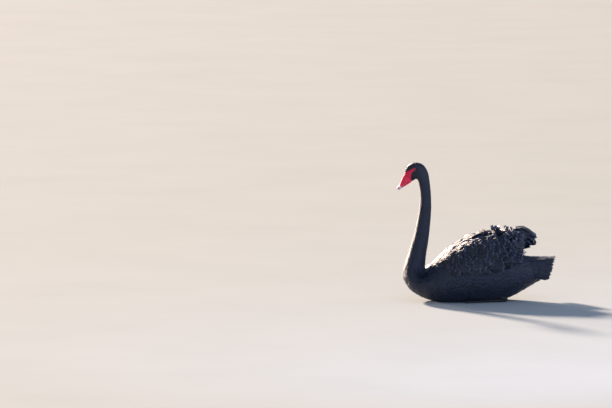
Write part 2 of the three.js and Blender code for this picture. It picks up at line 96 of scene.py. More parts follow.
# How deep the skin lies under the feather tips: rows of the body, and millimetres
COAT_DEPTH = ([0, 10, 13, 20.5, 22.5, 30], [6, 6, 4, 2.6, 1.4, 0.7])
COAT_SPLIT = 7.5  # the row between the breast's and the flank's coat
LOWEST_ROOT = -4  # feathers that would root lower are left out
LIE_SPREAD = 0.16  # how far feathers turn out of line, in radians
BARB_SLANT = 1.43  # how far forward a barb runs as a share of its reach to the side, at 35 degrees
# Where a folded wing hides the body: from and to x, and how far above the wing's lower edge
UNDER_WING = {"front": -120, "rear": 175, "above": 34}

# Kinds of body feathers. Spacing is a share of the one that is set, and length and width are in
# millimetres, each as body rows and the values there. The grid is a feather's steps along and
# points across. Barbs is the barbs' distance, coarser than the real one so that it shows.
HEAD_COAT = {
    "spacing": ([21, 24, 28, 30], [1.35, 1.1, 0.9, 0.8]),
    "length": ([21, 24, 28, 30], [7.5, 5.2, 3.6, 2.8]),
    "width": ([21, 24, 30], [3.6, 2.6, 1.7]),
    "form": {"stand": 1.0, "flip": 0.3, "wave": 0, "frill": 0},
    "grid": (3, 3),
    "barbs": 0.9,
}
NECK_COAT = {
    "spacing": ([12.4, 14, 18, 21.5], [1.5, 1.2, 1, 0.75]),
    "length": ([12.4, 15, 21.5], [19, 14, 8.5]),
    "width": ([12.4, 15, 21.5], [9.5, 7, 4]),
    "form": {"stand": 1.0, "flip": 0.45, "wave": 0.15, "frill": 0},
    "grid": (4, 3),
    "barbs": 1.0,
}
BODY_COAT = {
    "spacing": ([0, 2, 8, 11, 13.4], [0.75, 1, 1, 0.8, 0.5]),
    "length": ([0, 2, 7, 10.5, 12.6], [30, 40, 38, 30, 21]),
    "width": ([0, 2, 7, 10.5, 12.6], [17, 24, 24, 18, 11.5]),
    "form": {"stand": 1.15, "flip": 0.4, "wave": 0.5, "frill": 0.5},
    "grid": (6, 5),
    "barbs": 1.3,
}

# Swellings and hollows of the head: the middle (x, y, z), the radius and the height
HEAD_FORMS = [
    ((-249, 23, 597), 8, 1.5),  # brow
    ((-238, 24, 562), 14, 2.2),  # cheek
    ((-252, 19, 548), 8, 1.3),  # jaw
    ((-272, 18, 570), 9, -1.3),  # hollow ahead of the eye
    ((-250.5, 25, 585.5), 5.2, -5.2),  # eye socket
]

# Outline of the bare red skin between bill and eye: its upper edge, its rear edge, its lowest
# height, and half the width over which it fades into the feathers
LORE_TOP_X = [-300, -281, -259, -243]
LORE_TOP_Z = [567, 580, 592, 594]
LORE_REAR_Z = [528, 543, 560, 574, 582, 594]
LORE_REAR_X = [-270, -268, -268, -264, -254, -247]
LORE_LOW = 520
LORE_FADE = 0.9

# The bill along its own axis: distance, culmen, mouth line and chin heights, and half width
BILL_BASE = np.array([-277, 0, 543.5])
BILL_AXIS = np.array([-0.738, 0, -0.675])
BILL_UP = np.array([-0.675, 0, 0.738])
BILL = np.array([
    [-7, 26, -9, -17, 13.2],
    [0.3, 26.6, -9, -18, 14.8],
    [8, 25.2, -8.4, -17.4, 14.2],
    [18, 21.6, -7.4, -15.6, 13.4],
    [30, 16, -6, -13, 12.8],
    [42, 10.6, -4.8, -10.6, 13.2],
    [52, 8.3, -4, -9, 13.4],
    [59, 7, -3.8, -8, 11.6],
    [64, 4.4, -4.2, -7, 7.2],
    [66.6, 0.8, -4.6, -6, 2.8],
])
LOWER_INSET = 1.3  # how far the lower bill lies inside the upper one's edges
LOWER_LAST = 8  # the row where it ends
LIP_GAP = 0.35  # how far its top lies under the mouth line
PALATE_RISE = 0.9  # how far the upper bill is hollowed from below
NOSTRIL = {"along": 27, "up": 3.6, "long": 4.4, "high": 1.7, "deep": 2.6, "rim": 0.35}
NAIL = {"start": 56.5, "half": 6.4, "rise": 0.9}

# Eyes: the right one's middle and the way it looks, which are mirrored for the left one
EYE_MIDDLE = np.array([-250.5, 17.4, 585.5])
EYE_RADIUS = 7.2
EYE_LOOK = np.array([-0.2, 1, 0.1])
EYE_CLEAR = 9.2  # half width of the oval round the eye that has no feathers
# The lids, by the angle from the eye's axis: half width and half height of their opening, their
# outer edge, and how far they stand over the eyeball at shares of the way out
LID_OPENING = (0.86, 0.66)
LID_EDGE = 1.35
LID_FORM = ([0, 0.1, 0.25, 0.5, 0.75, 1], [0.1, 0.75, 1.1, 0.85, 0.2, -1.4])

# The folded wing's outer face: x, half width and height of the lower edge, height of the top
# edge, and the top edge's distance from the midline
WING = np.array([
    [-172, 62, 160, 171, 50],
    [-150, 86, 148, 196, 38],
    [-118, 114, 141, 230, 25],
    [-75, 131, 140, 262, 16],
    [-20, 138, 146, 287, 10],
    [40, 137, 156, 300, 8],
    [95, 130, 168, 300, 10],
    [145, 116, 181, 306, 15],
    [185, 101, 193, 320, 22],
    [212, 86, 205, 300, 26],
])
WING_END = 7.9  # the last row in use
WING_BED = 13  # how deep the bed lies under the feather tips
WING_MIDLINE = 1.5  # how far the bed ends from the midline
WING_OVERLAP = 7  # how far feathers of one wing reach over the other
VANE_BARBS = 1.5  # distance of barbs on wings and tail, coarser than real ones so that they show
WING_SEEDS = {"left": 11, "right": 29}
# Ruffles that stand out further than this from the midline are pressed in by a share of the rest
PRESS_FROM = 128
PRESS = 0.55
# The shelf between a wing's top edge and the midline: its drop, and its part of the turn
SHELF_DROP = 6
SHELF_TURN = 0.6
WING_TURN = 0.5 * np.pi + SHELF_TURN
# The bed's underside: how far its inner edge lies above the wing's lower edge, and the share of
# the half width where it bends
BED_RISE = 4
BED_BEND = 0.6
# The wing's rear end, a dome behind its last row: its depth, the place (y, z) that it closes
# towards, and the tiers of its feathers as share of the way to the dome's top, first and last
# turn, and how many
DOME_DEPTH = 26
DOME_MIDDLE = np.array([0, 20, 246])
DOME_TIERS = [
    (0.3, 0.3, 2.1, 7),
    (0.5, 0.2, 2.1, 6),
    (0.7, 0.2, 2.1, 5),
    (0.88, 0.4, 1.9, 3),
]
# Where the wing's feathers change, in rows and turns from and to: rough ones start at a row, later
# near the top, and grow to their full strength over some rows. The last ones trail over the rump,
# those on the shelf lie flat, and low ones at the rear are shorter.
RUFFLE = {
    "rough_row": 0.8,
    "rough_rows": 2.6,
    "rough_top": (0.8, 1.35),
    "trail_row": (6.5, 7.2),
    "trail_turn": (0.2, 0.55),
    "flat_turn": (1.45, 1.62),
    "short_row": (6.0, 7.6),
    "short_turn": (0.95, 0.3),
}
# Ruffled feathers: the number of tiers, and by wing row how many are in a tier, their length and
# their width. Each tier has two more on the shelf, at these turns.
RUFFLE_TIERS = 22
RUFFLE_COUNT = ([0, 1.5, 3, 8], [9, 9, 7, 7])
RUFFLE_LENGTH = ([0, 1, 2, 4, 6, 8], [26, 36, 50, 68, 78, 80])
RUFFLE_WIDTH = ([0, 1, 2, 4, 8], [20, 30, 48, 66, 68])
SHELF_PLACES = (1.68, 1.92)
# Feathers that curl up along the wing's top: row and turn on the wing, and added curl
CRESTS = [
    (5.45, 1.52, 1.1),
    (5.6, 1.7, 1.5),
    (5.8, 1.4, 1.0),
    (5.95, 1.6, 1.3),
    (6.5, 1.4, 0.6),
    (6.9, 1.5, 0.7),
]
CREST_LENGTH = 60
CREST_WIDTH = 44
# Length of each wing's last feathers, as a share of the length at their row
REACH_BACK = {"left": 0.66, "right": 1.78}
# The folded flight feathers of a wing: how many, the innermost one's root, length and width, and
# how each next one's root and length differ
PRIMARIES = 6
PRIMARY_ROOT = (172, 38, 217)
PRIMARY_SHIFT = (0, 5, -2)
PRIMARY_LENGTH = 76
PRIMARY_SHORTER = 5
PRIMARY_WIDTH = 15

# The tail: a tent of feathers over the stern. Spread is the arch's half angle.
TAIL = {
    "root_x": 226,
    "root_radius": 54,
    "root_flare": 14,
    "root_height": 136,
    "tip_x": 379,
    "tip_short": 40,
    "tip_wide": 80,
    "tip_height": 117,
    "tip_rise": 76,
    "spread": 1.85,
    "upturn": 60,
    "upturn_from": 0.75,
    "upturn_wide": 0.5,
}
# Its tiers: how many feathers fewer than the number that is set, first and last share of the way
# to the tip, height over the tent, and half the angle that one feather covers
TAIL_TIERS = [
    (0, 0.0, 1.0, 0.0, 0.19),
    (3, -0.1, 0.72, 2.4, 0.2),
    (2, -0.2, 0.45, 4.8, 0.17),
    (3, -0.3, 0.2, 7.2, 0.17),
    (5, 0.1, 0.93, -7.0, 0.24),
    (6, 0.1, 0.86, -15.0, 0.28),
    (8, 0.1, 0.8, -25.0, 0.34),
]
TAIL_FEATHER = (150.0, 34.0)  # length and width that set the barbs

# The right foot: the knuckle and the three toe tips (x, y), and the limbs' paths as points with
# radii
KNUCKLE = (66, 76)
TOE_TIPS = [(-12, 60), (-44, 84), (-30, 106)]
TOE_RADIUS = 4.6  # at the knuckle
TOE_TAPER = 2.3  # how much smaller the radius is at the tip
TOE_GAP = 7  # how far apart the toes are at the knuckle, for the width of their ridges
TOE_SPREAD = 26  # how much further apart at the tips
TOE_RISE = 1.5  # a ridge's height over the web, in radii
SCUTE = 4.2  # the distance of scutes
WEB_HEIGHT = 2.6
WEB_FOLDS = 42  # how fast the folds follow one another across the web
FOLD_HEIGHT = 0.25
SHANK = np.array([
    [60, 76, 6.6, 5.6],
    [72, 75, 6.6, 6],
    [90, 73, 6.8, 5.4],
    [128, 68, 8.4, 6.2],
    [146, 66, 10.4, 9],
    [153, 66, 10.6, 6],
])
THIGH = np.array([
    [154, 66, 11, 5],
    [146, 67, 15, 9.5],
    [128, 68, 24, 12],
    [110, 69, 34, 14],
])
HIND_TOE = np.array([
    [70, 73, 5, 3.6],
    [80, 60, 3.6, 2.9],
    [89, 52, 2.6, 1.4],
])
# A claw: distance from the toe's tip, height and radius
CLAW = [(4, 3.4, 1.9), (-1, 3.6, 1.8), (-6, 2.7, 1.2), (-9, 1.4, 0.25)]


def linear(hex_colour):
    """An sRGB hex colour as linear red, green, blue and alpha."""
    parts = [int(hex_colour[i : i + 2], 16) / 255 for i in (1, 3, 5)]
    return [c / 12.92 if c <= 0.04045 else ((c + 0.055) / 1.055) ** 2.4 for c in parts] + [1.0]


def colour_property(name, description, hex_colour):
    """A colour that a user may change."""
    return FloatVectorProperty(
        name=name,
        description=description,
        subtype="COLOR",
        size=4,
        min=0,
        max=1,
        default=linear(hex_colour),
    )


def unit(vectors):
    """Each vector at length one."""
    return vectors / np.maximum(np.linalg.norm(vectors, axis=-1, keepdims=True), 1e-9)


def smooth(low, high, value):
    """A smooth step from 0 at low to 1 at high."""
    f = np.clip((value - low) / (high - low), 0, 1)
    return f * f * (3 - 2 * f)


def grid(rows, cols):
    """The row values and the column values at each point of a grid."""
    return np.meshgrid(rows, cols, indexing="ij")


def round_turn(count):
    """Evenly spaced angles once round."""
    return np.linspace(0, 2 * np.pi, count + 1)[:-1]


def along_rows(table, t):
    """Values at fractional rows t: the Catmull-Rom cubic through the rows, with mirrored ends."""
    padded = np.vstack([2 * table[0] - table[1], table, 2 * table[-1] - table[-2]])
    t = np.clip(t, 0, len(table) - 1)
    i = np.minimum(t.astype(int), len(table) - 2)
    f = (t - i)[..., None]
    a, b, c, d = (padded[i + k] for k in range(4))
    return 0.5 * (2 * b + (c - a) * f + (2 * a - 5 * b + 4 * c - d) * f**2
                  + (3 * b - a - 3 * c + d) * f**3)


def head_form(points):
    """Height added outwards: a sum of bells, each falling with distance from its middle."""
    rise = np.zeros(points.shape[:-1])
    for middle, radius, height in HEAD_FORMS:
        away = np.abs(points) * [-1, 1, 1] - np.array(middle)
        rise += height * np.exp(-np.sum(away**2, axis=-1) / (2 * radius**2))
    return rise


def body_at(t, turn, inset=0.0):
    """The body's surface: the middle of a row, plus half its reach to the back times
    cos(turn) - low * sin(turn) squared, plus half its width times sin(turn), less the inset."""
    ux, uz, lx, lz, half, low = np.moveaxis(along_rows(BODY, t), -1, 0)
    zero = np.zeros_like(ux)
    reach = np.stack([ux - lx, zero, uz - lz], -1) / 2
    middle = np.stack([ux + lx, zero, uz + lz], -1) / 2
    size = np.linalg.norm(reach, axis=-1)
    share = (np.cos(turn) - low * np.sin(turn) ** 2) * (size - inset) / size
    points = middle + reach * share[..., None]
    points[..., 1] += (half - inset) * np.sin(turn)
    return points + unit(points - middle) * head_form(points)[..., None]


def wing_at(t, turn, inset=0.0):
    """The right wing's surface: from the lower edge at turn 0 to the top edge at a quarter turn,
    along a rounded arch."""
    x, wide, low, top, apart = np.moveaxis(along_rows(WING, t), -1, 0)
    c = np.clip(np.cos(turn), 0, 1) ** 0.9
    s = np.clip(np.sin(turn), 0, 1) ** 0.95
    return np.stack([x + 0 * c, apart + (wide - inset - apart) * c, low + (top - inset - low) * s], -1)


def tail_at(u, beta, extra=0.0):
    """The tail tent: an arch round the midline that widens and drops from root (u 0) to tip (u 1),
    and whose middle turns up towards the tip."""
    side = np.abs(beta) / TAIL["spread"]
    tip_x = TAIL["tip_x"] - TAIL["tip_short"] * side**1.2
    root = TAIL["root_radius"]
    root_wide = root + TAIL["root_flare"]
    x = TAIL["root_x"] + (tip_x - TAIL["root_x"]) * u
    height = TAIL["root_height"] + (TAIL["tip_height"] - TAIL["root_height"]) * u
    wide = root_wide + (TAIL["tip_wide"] - root_wide) * u + extra
    rise = root + (TAIL["tip_rise"] - root) * u + extra
    near_middle = np.exp(-((beta / TAIL["upturn_wide"]) ** 2))
    upturn = TAIL["upturn"] * np.clip(u - TAIL["upturn_from"], 0, 1) ** 2 * near_middle
    return np.stack([x, wide * np.sin(beta), height + upturn + rise * np.cos(beta)], -1)


def bill_at(along, up, side):
    """A point of the bill: the base plus distances along its axis, up and to the side."""
    along, up, side = np.broadcast_arrays(along, up, side)
    return (BILL_BASE + along[..., None] * BILL_AXIS + up[..., None] * BILL_UP
            + side[..., None] * np.array([0, 1, 0]))


def bill_rows(last, count):
    """Columns of the bill's table, at even steps from its first row to the last one in use."""
    return [column[:, None] for column in along_rows(BILL, np.linspace(0, last, count)).T]


def eye_at(side, polar, phi, radius):
    """Points round an eye's middle: polar is the angle from the way it looks, and phi the angle
    round that line from level."""
    look = unit(EYE_LOOK * [1, side, 1])
    level = unit(np.cross(look, [0, 0, 1]) * -side)
    up = np.cross(level, look) * side
    spoke = level * np.cos(phi)[..., None] + up * np.sin(phi)[..., None]
    direction = look * np.cos(polar)[..., None] + spoke * np.sin(polar)[..., None]
    return EYE_MIDDLE * [1, side, 1] + direction * radius[..., None]


def grid_faces(rows, cols, closed=False):
    """Quads of a grid whose normal is the row direction crossed with the column direction."""
    i, j = grid(np.arange(rows - 1), np.arange(cols if closed else cols - 1))
    after = (j + 1) % cols
    quads = np.stack([i * cols + j, (i + 1) * cols + j, (i + 1) * cols + after, i * cols + after], -1)
    return quads.reshape(-1, 4)


def many_faces(count, rows, cols):
    """Quads of many like grids, one after the other."""
    starts = np.arange(count) * rows * cols
    return (grid_faces(rows, cols) + starts[:, None, None]).reshape(-1, 4)


def mirrored(points, faces, side):
    """Points and quads of the right side, turned to the left one where side is -1."""
    return points * [1, side, 1], faces if side > 0 else faces[:, ::-1]


def make_piece(name, points, faces, material, values=None, patches=None, replaces=()):
    """A smooth mesh piece from points in millimetres and quads. Each point has its values, of one
    number or three, and its place on the coat's unwrap."""
    mesh = bpy.data.meshes.new(name)
    points = points.reshape(-1, 3)
    mesh.vertices.add(len(points))
    mesh.vertices.foreach_set("co", (points * MM).astype(np.float32).ravel())
    mesh.loops.add(faces.size)
    mesh.loops.foreach_set("vertex_index", faces.astype(np.int32).ravel())
    mesh.polygons.add(len(faces))
    mesh.polygons.foreach_set("loop_start", np.arange(len(faces), dtype=np.int32) * faces.shape[1])
    mesh.update(calc_edges=True)
    for key, value in (values or {}).items():
        three = value.size > len(points)
        layer = mesh.attributes.new(key, "FLOAT_VECTOR" if three else "FLOAT", "POINT")
        layer.data.foreach_set("vector" if three else "value", value.astype(np.float32).ravel())
    if patches is not None:
        layer = mesh.uv_layers.new(name="OFBake")
        places = patches.reshape(-1, 2)[faces.ravel()]
        layer.data.foreach_set("uv", places.astype(np.float32).ravel())
    mesh.shade_smooth()
    mesh.materials.append(material)
    piece = bpy.data.objects.new(name, mesh)
    bpy.context.scene.collection.objects.link(piece)
    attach(piece, "root")
    if replaces:
        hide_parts(*replaces)


def loft_mesh(rings):
    """Points and quads of closed rings joined in order, with both ends drawn in to a point.
    Faces point out where the ring direction crossed with the way round points out."""
    first = rings[:1].mean(axis=1, keepdims=True).repeat(rings.shape[1], axis=1)
    last = rings[-1:].mean(axis=1, keepdims=True).repeat(rings.shape[1], axis=1)
    points = np.concatenate([first, rings, last])
    return points, grid_faces(len(points), rings.shape[1], closed=True)


def signed_volume(points, quads):
    """The volume inside quads, negative where they face inwards: each quad's two tetrahedra to the
    origin, added up."""
    a, b, c, d = (points[quads[:, k]] for k in range(4))
    return np.sum(a * np.cross(b, c)) / 6 + np.sum(a * np.cross(c, d)) / 6


def scatter(rows, spacing, surface):
    """Places spread evenly over rows of a surface: an additive sequence in two numbers, the first
    turned into a row by the share of the surface below it, the second into a turn."""
    t = np.linspace(rows[0], rows[1], 200)
    points = surface(*grid(t, round_turn(48)))
    stride = np.linalg.norm(np.gradient(points, axis=0), axis=-1).mean(axis=1)
    girth = np.linalg.norm(np.roll(points, -1, axis=1) - points, axis=-1).sum(axis=1)
    share = stride * girth / spacing(t) ** 2
    total = np.concatenate([[0], np.cumsum((share[1:] + share[:-1]) / 2)])
    n = np.arange(1, int(total[-1]) + 1)
    placed = np.interp((n * EVEN_STEPS[0]) % 1, total / total[-1], t)
    return placed, 2 * np.pi * ((n * EVEN_STEPS[1]) % 1)


def lay(surface, t, turn, length, heading, rows):
    """Root, lie, outward normal and bend of feathers on a surface. The lie is the way in which the
    rows run, and the bend the angle by which the surface turns within the feather's length."""

    def rays(at):
        at = np.clip(at, 2 * STEP, rows - 2 * STEP)
        back = surface(at + heading * STEP, turn) - surface(at - heading * STEP, turn)
        side = surface(at, turn + STEP) - surface(at, turn - STEP)
        speed = np.linalg.norm(back, axis=-1) / (2 * STEP)
        return unit(back), unit(-heading * np.cross(back, side)), speed

    lie, out, speed = rays(t)
    later = rays(t + heading * length / speed)[0]
    bend = np.arctan2(np.sum(later * out, -1), np.sum(later * lie, -1))
    return surface(t, turn), lie, out, bend


def turned(lie, out, angle):
    """Each lie turned about its outward normal."""
    side = np.cross(out, lie)
    return unit(lie * np.cos(angle)[:, None] + side * np.sin(angle)[:, None])


def vanes(root, lie, out, form, steps, cols):
    """Many feathers at once. The centre line starts at the root and its angle to the surface is
    lift + curl * u ** 1.4 + flip * u ** 5. The vane widens to its broadest place and rounds off
    at the tip. It is arched across, with a wave across the tip and a frill along both sides."""
    count = len(root)
    u = np.linspace(0, 1, steps + 1)
    v = np.linspace(-1, 1, cols)
    across = unit(np.cross(out, lie))
    up = np.cross(lie, across)
    col = {k: np.broadcast_to(np.asarray(x, float), (count,))[:, None] for k, x in form.items()}
    angle = col["lift"] + col["curl"] * u**1.4 + col["flip"] * u**5
    ahead = np.cos(angle)[..., None] * lie[:, None] + np.sin(angle)[..., None] * up[:, None]
    over = np.cos(angle)[..., None] * up[:, None] - np.sin(angle)[..., None] * lie[:, None]
    stride = col["length"][..., None] / steps
    middle = root[:, None] + np.cumsum(ahead * stride, axis=1) - ahead[:, :1] * stride
    grown = 0.34 + 0.66 * np.sin(0.5 * np.pi * np.minimum(1, u / 0.55))
    rounded = np.sqrt(1 - 0.66 * np.clip((u - 0.68) / 0.32, 0, 1) ** 2)
    half = 0.5 * col["width"] * grown * rounded
    wave = np.sin(np.pi * 2.2 * v + col["phase"])[:, None, :] * (u**3)[None, :, None]
    frill = np.sin(2 * np.pi * 1.4 * u + col["phase"] * 2)[:, :, None] * np.abs(v) ** 1.6 * np.sign(v)
    arch = -0.12 * col["width"][..., None] * (v**2)[None, None, :]
    rise = col["wave"][..., None] * wave + col["frill"][..., None] * frill * u[None, :, None] + arch
    short = -0.2 * col["width"][..., None] * (v**2)[None, None, :] * (u**4)[None, :, None]
    points = (middle[:, :, None] + across[:, None, None] * (half[..., None] * v)[..., None]
              + over[:, :, None] * rise[..., None] + ahead[:, :, None] * short[..., None])
    uu, vv = grid(u, v)
    return points, many_faces(count, steps + 1, cols), uu, vv


def feather_values(uu, vv, chance, length, width, pitch):
    """Vertex values of feathers: place along and across, chance, and the count of barbs, which run
    forward from the shaft at 35 degrees."""
    count = len(chance)
    shape = (count,) + uu.shape
    along = np.broadcast_to(uu, shape)
    across = np.broadcast_to(vv, shape)
    luck = np.broadcast_to(chance[:, None, None], shape)
    reach = np.abs(across) * 0.5 * width[:, None, None]
    run = along * length[:, None, None] - reach * BARB_SLANT
    return {"vane": np.stack([along, across, luck], -1), "barb": run / pitch}


def patch_places(uu, vv, u_root, v_root):
    """The bake map: each feather is a small patch at its root's place on the unwrap."""
    size = 0.003
    margin = 0.004
    a = u_root[:, None, None] + size * 0.5 * vv
    b = v_root[:, None, None] + size * (uu - 0.5)
    return margin + (1 - 2 * margin) * np.clip(np.stack([a, b], -1), 0, 1)


def in_lore(points, margin=0.0):
    """Share of bare red skin at points: under the upper edge line and ahead of the rear edge line."""
    x = points[..., 0]
    z = points[..., 2]
    below = np.interp(x, LORE_TOP_X, LORE_TOP_Z) - z + margin
    ahead = np.interp(z, LORE_REAR_Z, LORE_REAR_X) - x + margin
    return smooth(-LORE_FADE, LORE_FADE, below) * smooth(-LORE_FADE, LORE_FADE, ahead) * (z > LORE_LOW)


# Materials


def fill(node, inputs):
    """Sets a node's inputs, by name or number, or links them. A node stands for its first output."""
    for key, value in inputs.items():
        if isinstance(value, bpy.types.Node):
            value = value.outputs[0]
        if isinstance(value, bpy.types.NodeSocket):
            node.id_data.links.new(value, node.inputs[key])
        else:
            node.inputs[key].default_value = value


def add(tree, kind, inputs=None, **settings):
    """Adds one shader node with its settings and inputs."""
    made = tree.nodes.new("ShaderNode" + kind)
    for key, value in settings.items():
        setattr(made, key, value)
    fill(made, inputs or {})
    return made


def new_material(name, constants):
    """A material with one Principled shader and its constant values."""
    made = bpy.data.materials.new(name)
    made.use_nodes = True
    shader = made.node_tree.nodes["Principled BSDF"]
    fill(shader, constants)
    return made, made.node_tree, shader


def mottled(tree, place, size, detail, one, other):
    """Two colours in soft patches of a size in metres: the patches' strength and the colour."""
    patchy = add(tree, "TexNoise", {"Vector": place, "Scale": 1 / size, "Detail": detail})
    tone = add(tree, "Mix", {0: patchy.outputs["Fac"], 6: one, 7: other}, data_type="RGBA")
    return patchy.outputs["Fac"], tone.outputs[2]


def set_stops(ramp, stops):
    """Gives a colour ramp its stops, each a place and a colour."""
    elements = ramp.color_ramp.elements
    while len(elements) < len(stops):
        elements.new(0.5)
    for element, (place, colour) in zip(elements, stops):
        element.position = place
        element.color = tuple(colour)


def feather_material(name, dark, light, edge, edge_share, edge_from, barb_depth):
    """Feather keratin: melanin black, matt from its barbs with a soft sheen, and paler at the
    edge from wear, and on the wing ruffles also from a painted blue-grey sky highlight. Its
    colours carry a painted blue tint for skylight on the shaded plumage."""
    made, tree, shader = new_material(name, {
        "Roughness": 0.47,
        "IOR": 1.55,
        "Specular IOR Level": 0.45,
        "Sheen Weight": 0.3,
        "Sheen Roughness": 0.3,
        "Sheen Tint": linear("#b9c8ee"),
    })
    vane = add(tree, "Attribute", attribute_name="vane")
    parts = add(tree, "SeparateXYZ", {0: vane.outputs["Vector"]})
    side = add(tree, "Math", {0: parts.outputs[1]}, operation="ABSOLUTE")
    # The paler edge at the tip and sides: wear, and on the ruffles also a painted sky highlight
    tip = add(tree, "MapRange", {0: parts, 1: edge_from, 2: 1.0}, interpolation_type="SMOOTHSTEP")
    rim = add(tree, "MapRange", {0: side, 1: 0.8, 2: 1.05}, interpolation_type="SMOOTHSTEP")
    far = add(tree, "Math", {0: rim, 1: parts}, operation="MULTIPLY")
    worn = add(tree, "Math", {0: tip, 1: far}, operation="MAXIMUM")
    place = add(tree, "TexCoord").outputs["Object"]
    patchy = add(tree, "TexNoise",
                 {"Vector": place, "Scale": 1 / (28 * MM), "Detail": 3.0})
    uneven = add(tree, "MapRange", {0: patchy.outputs["Fac"], 1: 0.3, 2: 0.7, 3: 0.5, 4: 1.2})
    share = add(tree, "Math", {0: worn, 1: edge_share}, operation="MULTIPLY")
    edged = add(tree, "Math", {0: share, 1: uneven}, operation="MULTIPLY", use_clamp=True)
    luck = add(tree, "Math", {0: parts.outputs[2], 1: patchy.outputs["Fac"]}, operation="MULTIPLY")
    tone = add(tree, "Mix", {0: luck, 6: dark, 7: light}, data_type="RGBA")
    both = add(tree, "Mix", {0: edged, 6: tone.outputs[2], 7: edge}, data_type="RGBA")
    count = add(tree, "Attribute", attribute_name="barb")
    turns = add(tree, "Math", {0: count.outputs["Fac"], 1: 2 * math.pi}, operation="MULTIPLY")
    ridge = add(tree, "Math", {0: turns}, operation="SINE")
    shaft = add(tree, "MapRange", {0: side, 1: 0.0, 2: 0.07, 3: 3.0, 4: 0.0})
    height = add(tree, "Math", {0: ridge, 1: shaft}, operation="ADD")
    bump = add(tree, "Bump", {"Strength": 0.5, "Distance": barb_depth * MM, "Height": height})
    fill(shader, {"Base Color": both.outputs[2], "Normal": bump})
    return made


def skin_material(settings):
    """Bird skin: black under the feathers, and wet-looking crimson with fine grain on the lores."""
    made, tree, shader = new_material("bird skin", {
        "Roughness": 0.5,
        "IOR": 1.45,
        "Subsurface Weight": 0.05,
        "Subsurface Scale": 1.5 * MM,
    })
    mask = add(tree, "Attribute", attribute_name="lore")
    place = add(tree, "TexCoord").outputs["Object"]
    _, red = mottled(tree, place, 5 * MM, 4.0, settings.bill_deep, settings.bill_red)
    both = add(tree, "Mix", {0: mask.outputs["Fac"], 6: settings.skin_dark, 7: red}, data_type="RGBA")
    # Papillae of bare facial skin, about 0.9 mm apart, and creases about 4 mm apart
    grain = add(tree, "TexVoronoi", {"Vector": place, "Scale": 1 / (0.9 * MM)})
    crease = add(tree, "TexNoise",
                 {"Vector": place, "Scale": 1 / (4 * MM), "Detail": 2.0, "Distortion": 1.2})
    relief = add(tree, "Math", {0: crease.outputs["Fac"], 1: 3.0, 2: grain.outputs["Distance"]},
                 operation="MULTIPLY_ADD")
    bump = add(tree, "Bump", {"Strength": 0.8, "Distance": 0.35 * MM, "Height": relief})
    fill(shader, {"Base Color": both.outputs[2], "Normal": bump})
    return made


def bill_material(settings):
    """Bill horn: crimson keratin over living tissue, satin, with a pale bar and a pinkish nail, and
    painted shade in the nostrils and under the palate.
    """
    made, tree, shader = new_material("bill horn", {
        "IOR": 1.54,
        "Specular IOR Level": 0.5,
        "Subsurface Weight": 0.12,
        "Subsurface Scale": 2 * MM,
        "Subsurface Radius": (1.0, 0.3, 0.25),
        "Coat Weight": 0.25,
        "Coat Roughness": 0.22,
    })
    place = add(tree, "TexCoord").outputs["Object"]
    from_base = add(tree, "VectorMath",
                    {0: place, 1: tuple(BILL_BASE * MM)}, operation="SUBTRACT")
    along = add(tree, "VectorMath", {0: from_base, 1: tuple(BILL_AXIS)}, operation="DOT_PRODUCT")
    wander = add(tree, "TexNoise", {"Vector": place, "Scale": 1 / (9 * MM), "Detail": 4.0})
    shift = add(tree, "Math", {0: wander.outputs["Fac"], 1: 5 * MM, 2: -2.5 * MM},
                operation="MULTIPLY_ADD")
    reach = add(tree, "Math", {0: along.outputs["Value"], 1: shift}, operation="ADD")
    scaled = add(tree, "Math", {0: reach, 1: 70 * MM}, operation="DIVIDE")
    ramp = add(tree, "ValToRGB", {0: scaled})
    set_stops(ramp, [
        (0.0, settings.bill_red),
        (0.66, settings.bill_red),
        (0.7, settings.bill_pale),
        (0.8, settings.bill_pale),
        (0.84, settings.bill_pink),
        (0.9, settings.bill_pink),
        (0.96, settings.bill_pale),
    ])
    # Painted shade: the nostril pits and the palate inside the mouth are darkened towards #240508
    pit = add(tree, "Attribute", attribute_name="pit")
    fine = add(tree, "TexNoise", {"Vector": place, "Scale": 1 / (2.2 * MM), "Detail": 6.0})
    mottle = add(tree, "MapRange", {0: fine.outputs["Fac"], 1: 0.35, 2: 0.75, 3: 0.0, 4: 0.3})
    soft = add(tree, "Mix", {0: mottle, 6: ramp, 7: settings.bill_deep}, data_type="RGBA")
    hollow = add(tree, "Mix",
                 {0: pit.outputs["Fac"], 6: soft.outputs[2], 7: linear("#240508")}, data_type="RGBA")
    gloss = add(tree, "MapRange", {0: fine.outputs["Fac"], 1: 0.3, 2: 0.8, 3: 0.3, 4: 0.48})
    # Growth lines across the bill, about 1.6 mm apart
    rings = add(tree, "Math", {0: reach, 1: 2 * math.pi / (1.6 * MM)}, operation="MULTIPLY")
    wave = add(tree, "Math", {0: rings}, operation="SINE")
    rough = add(tree, "Math", {0: wave, 1: 0.12, 2: fine.outputs["Fac"]}, operation="MULTIPLY_ADD")
    bump = add(tree, "Bump", {"Strength": 0.4, "Distance": 0.25 * MM, "Height": rough})
    fill(shader, {
        "Base Color": hollow.outputs[2],
        "Roughness": gloss,
        "Normal": bump,
    })
    return made


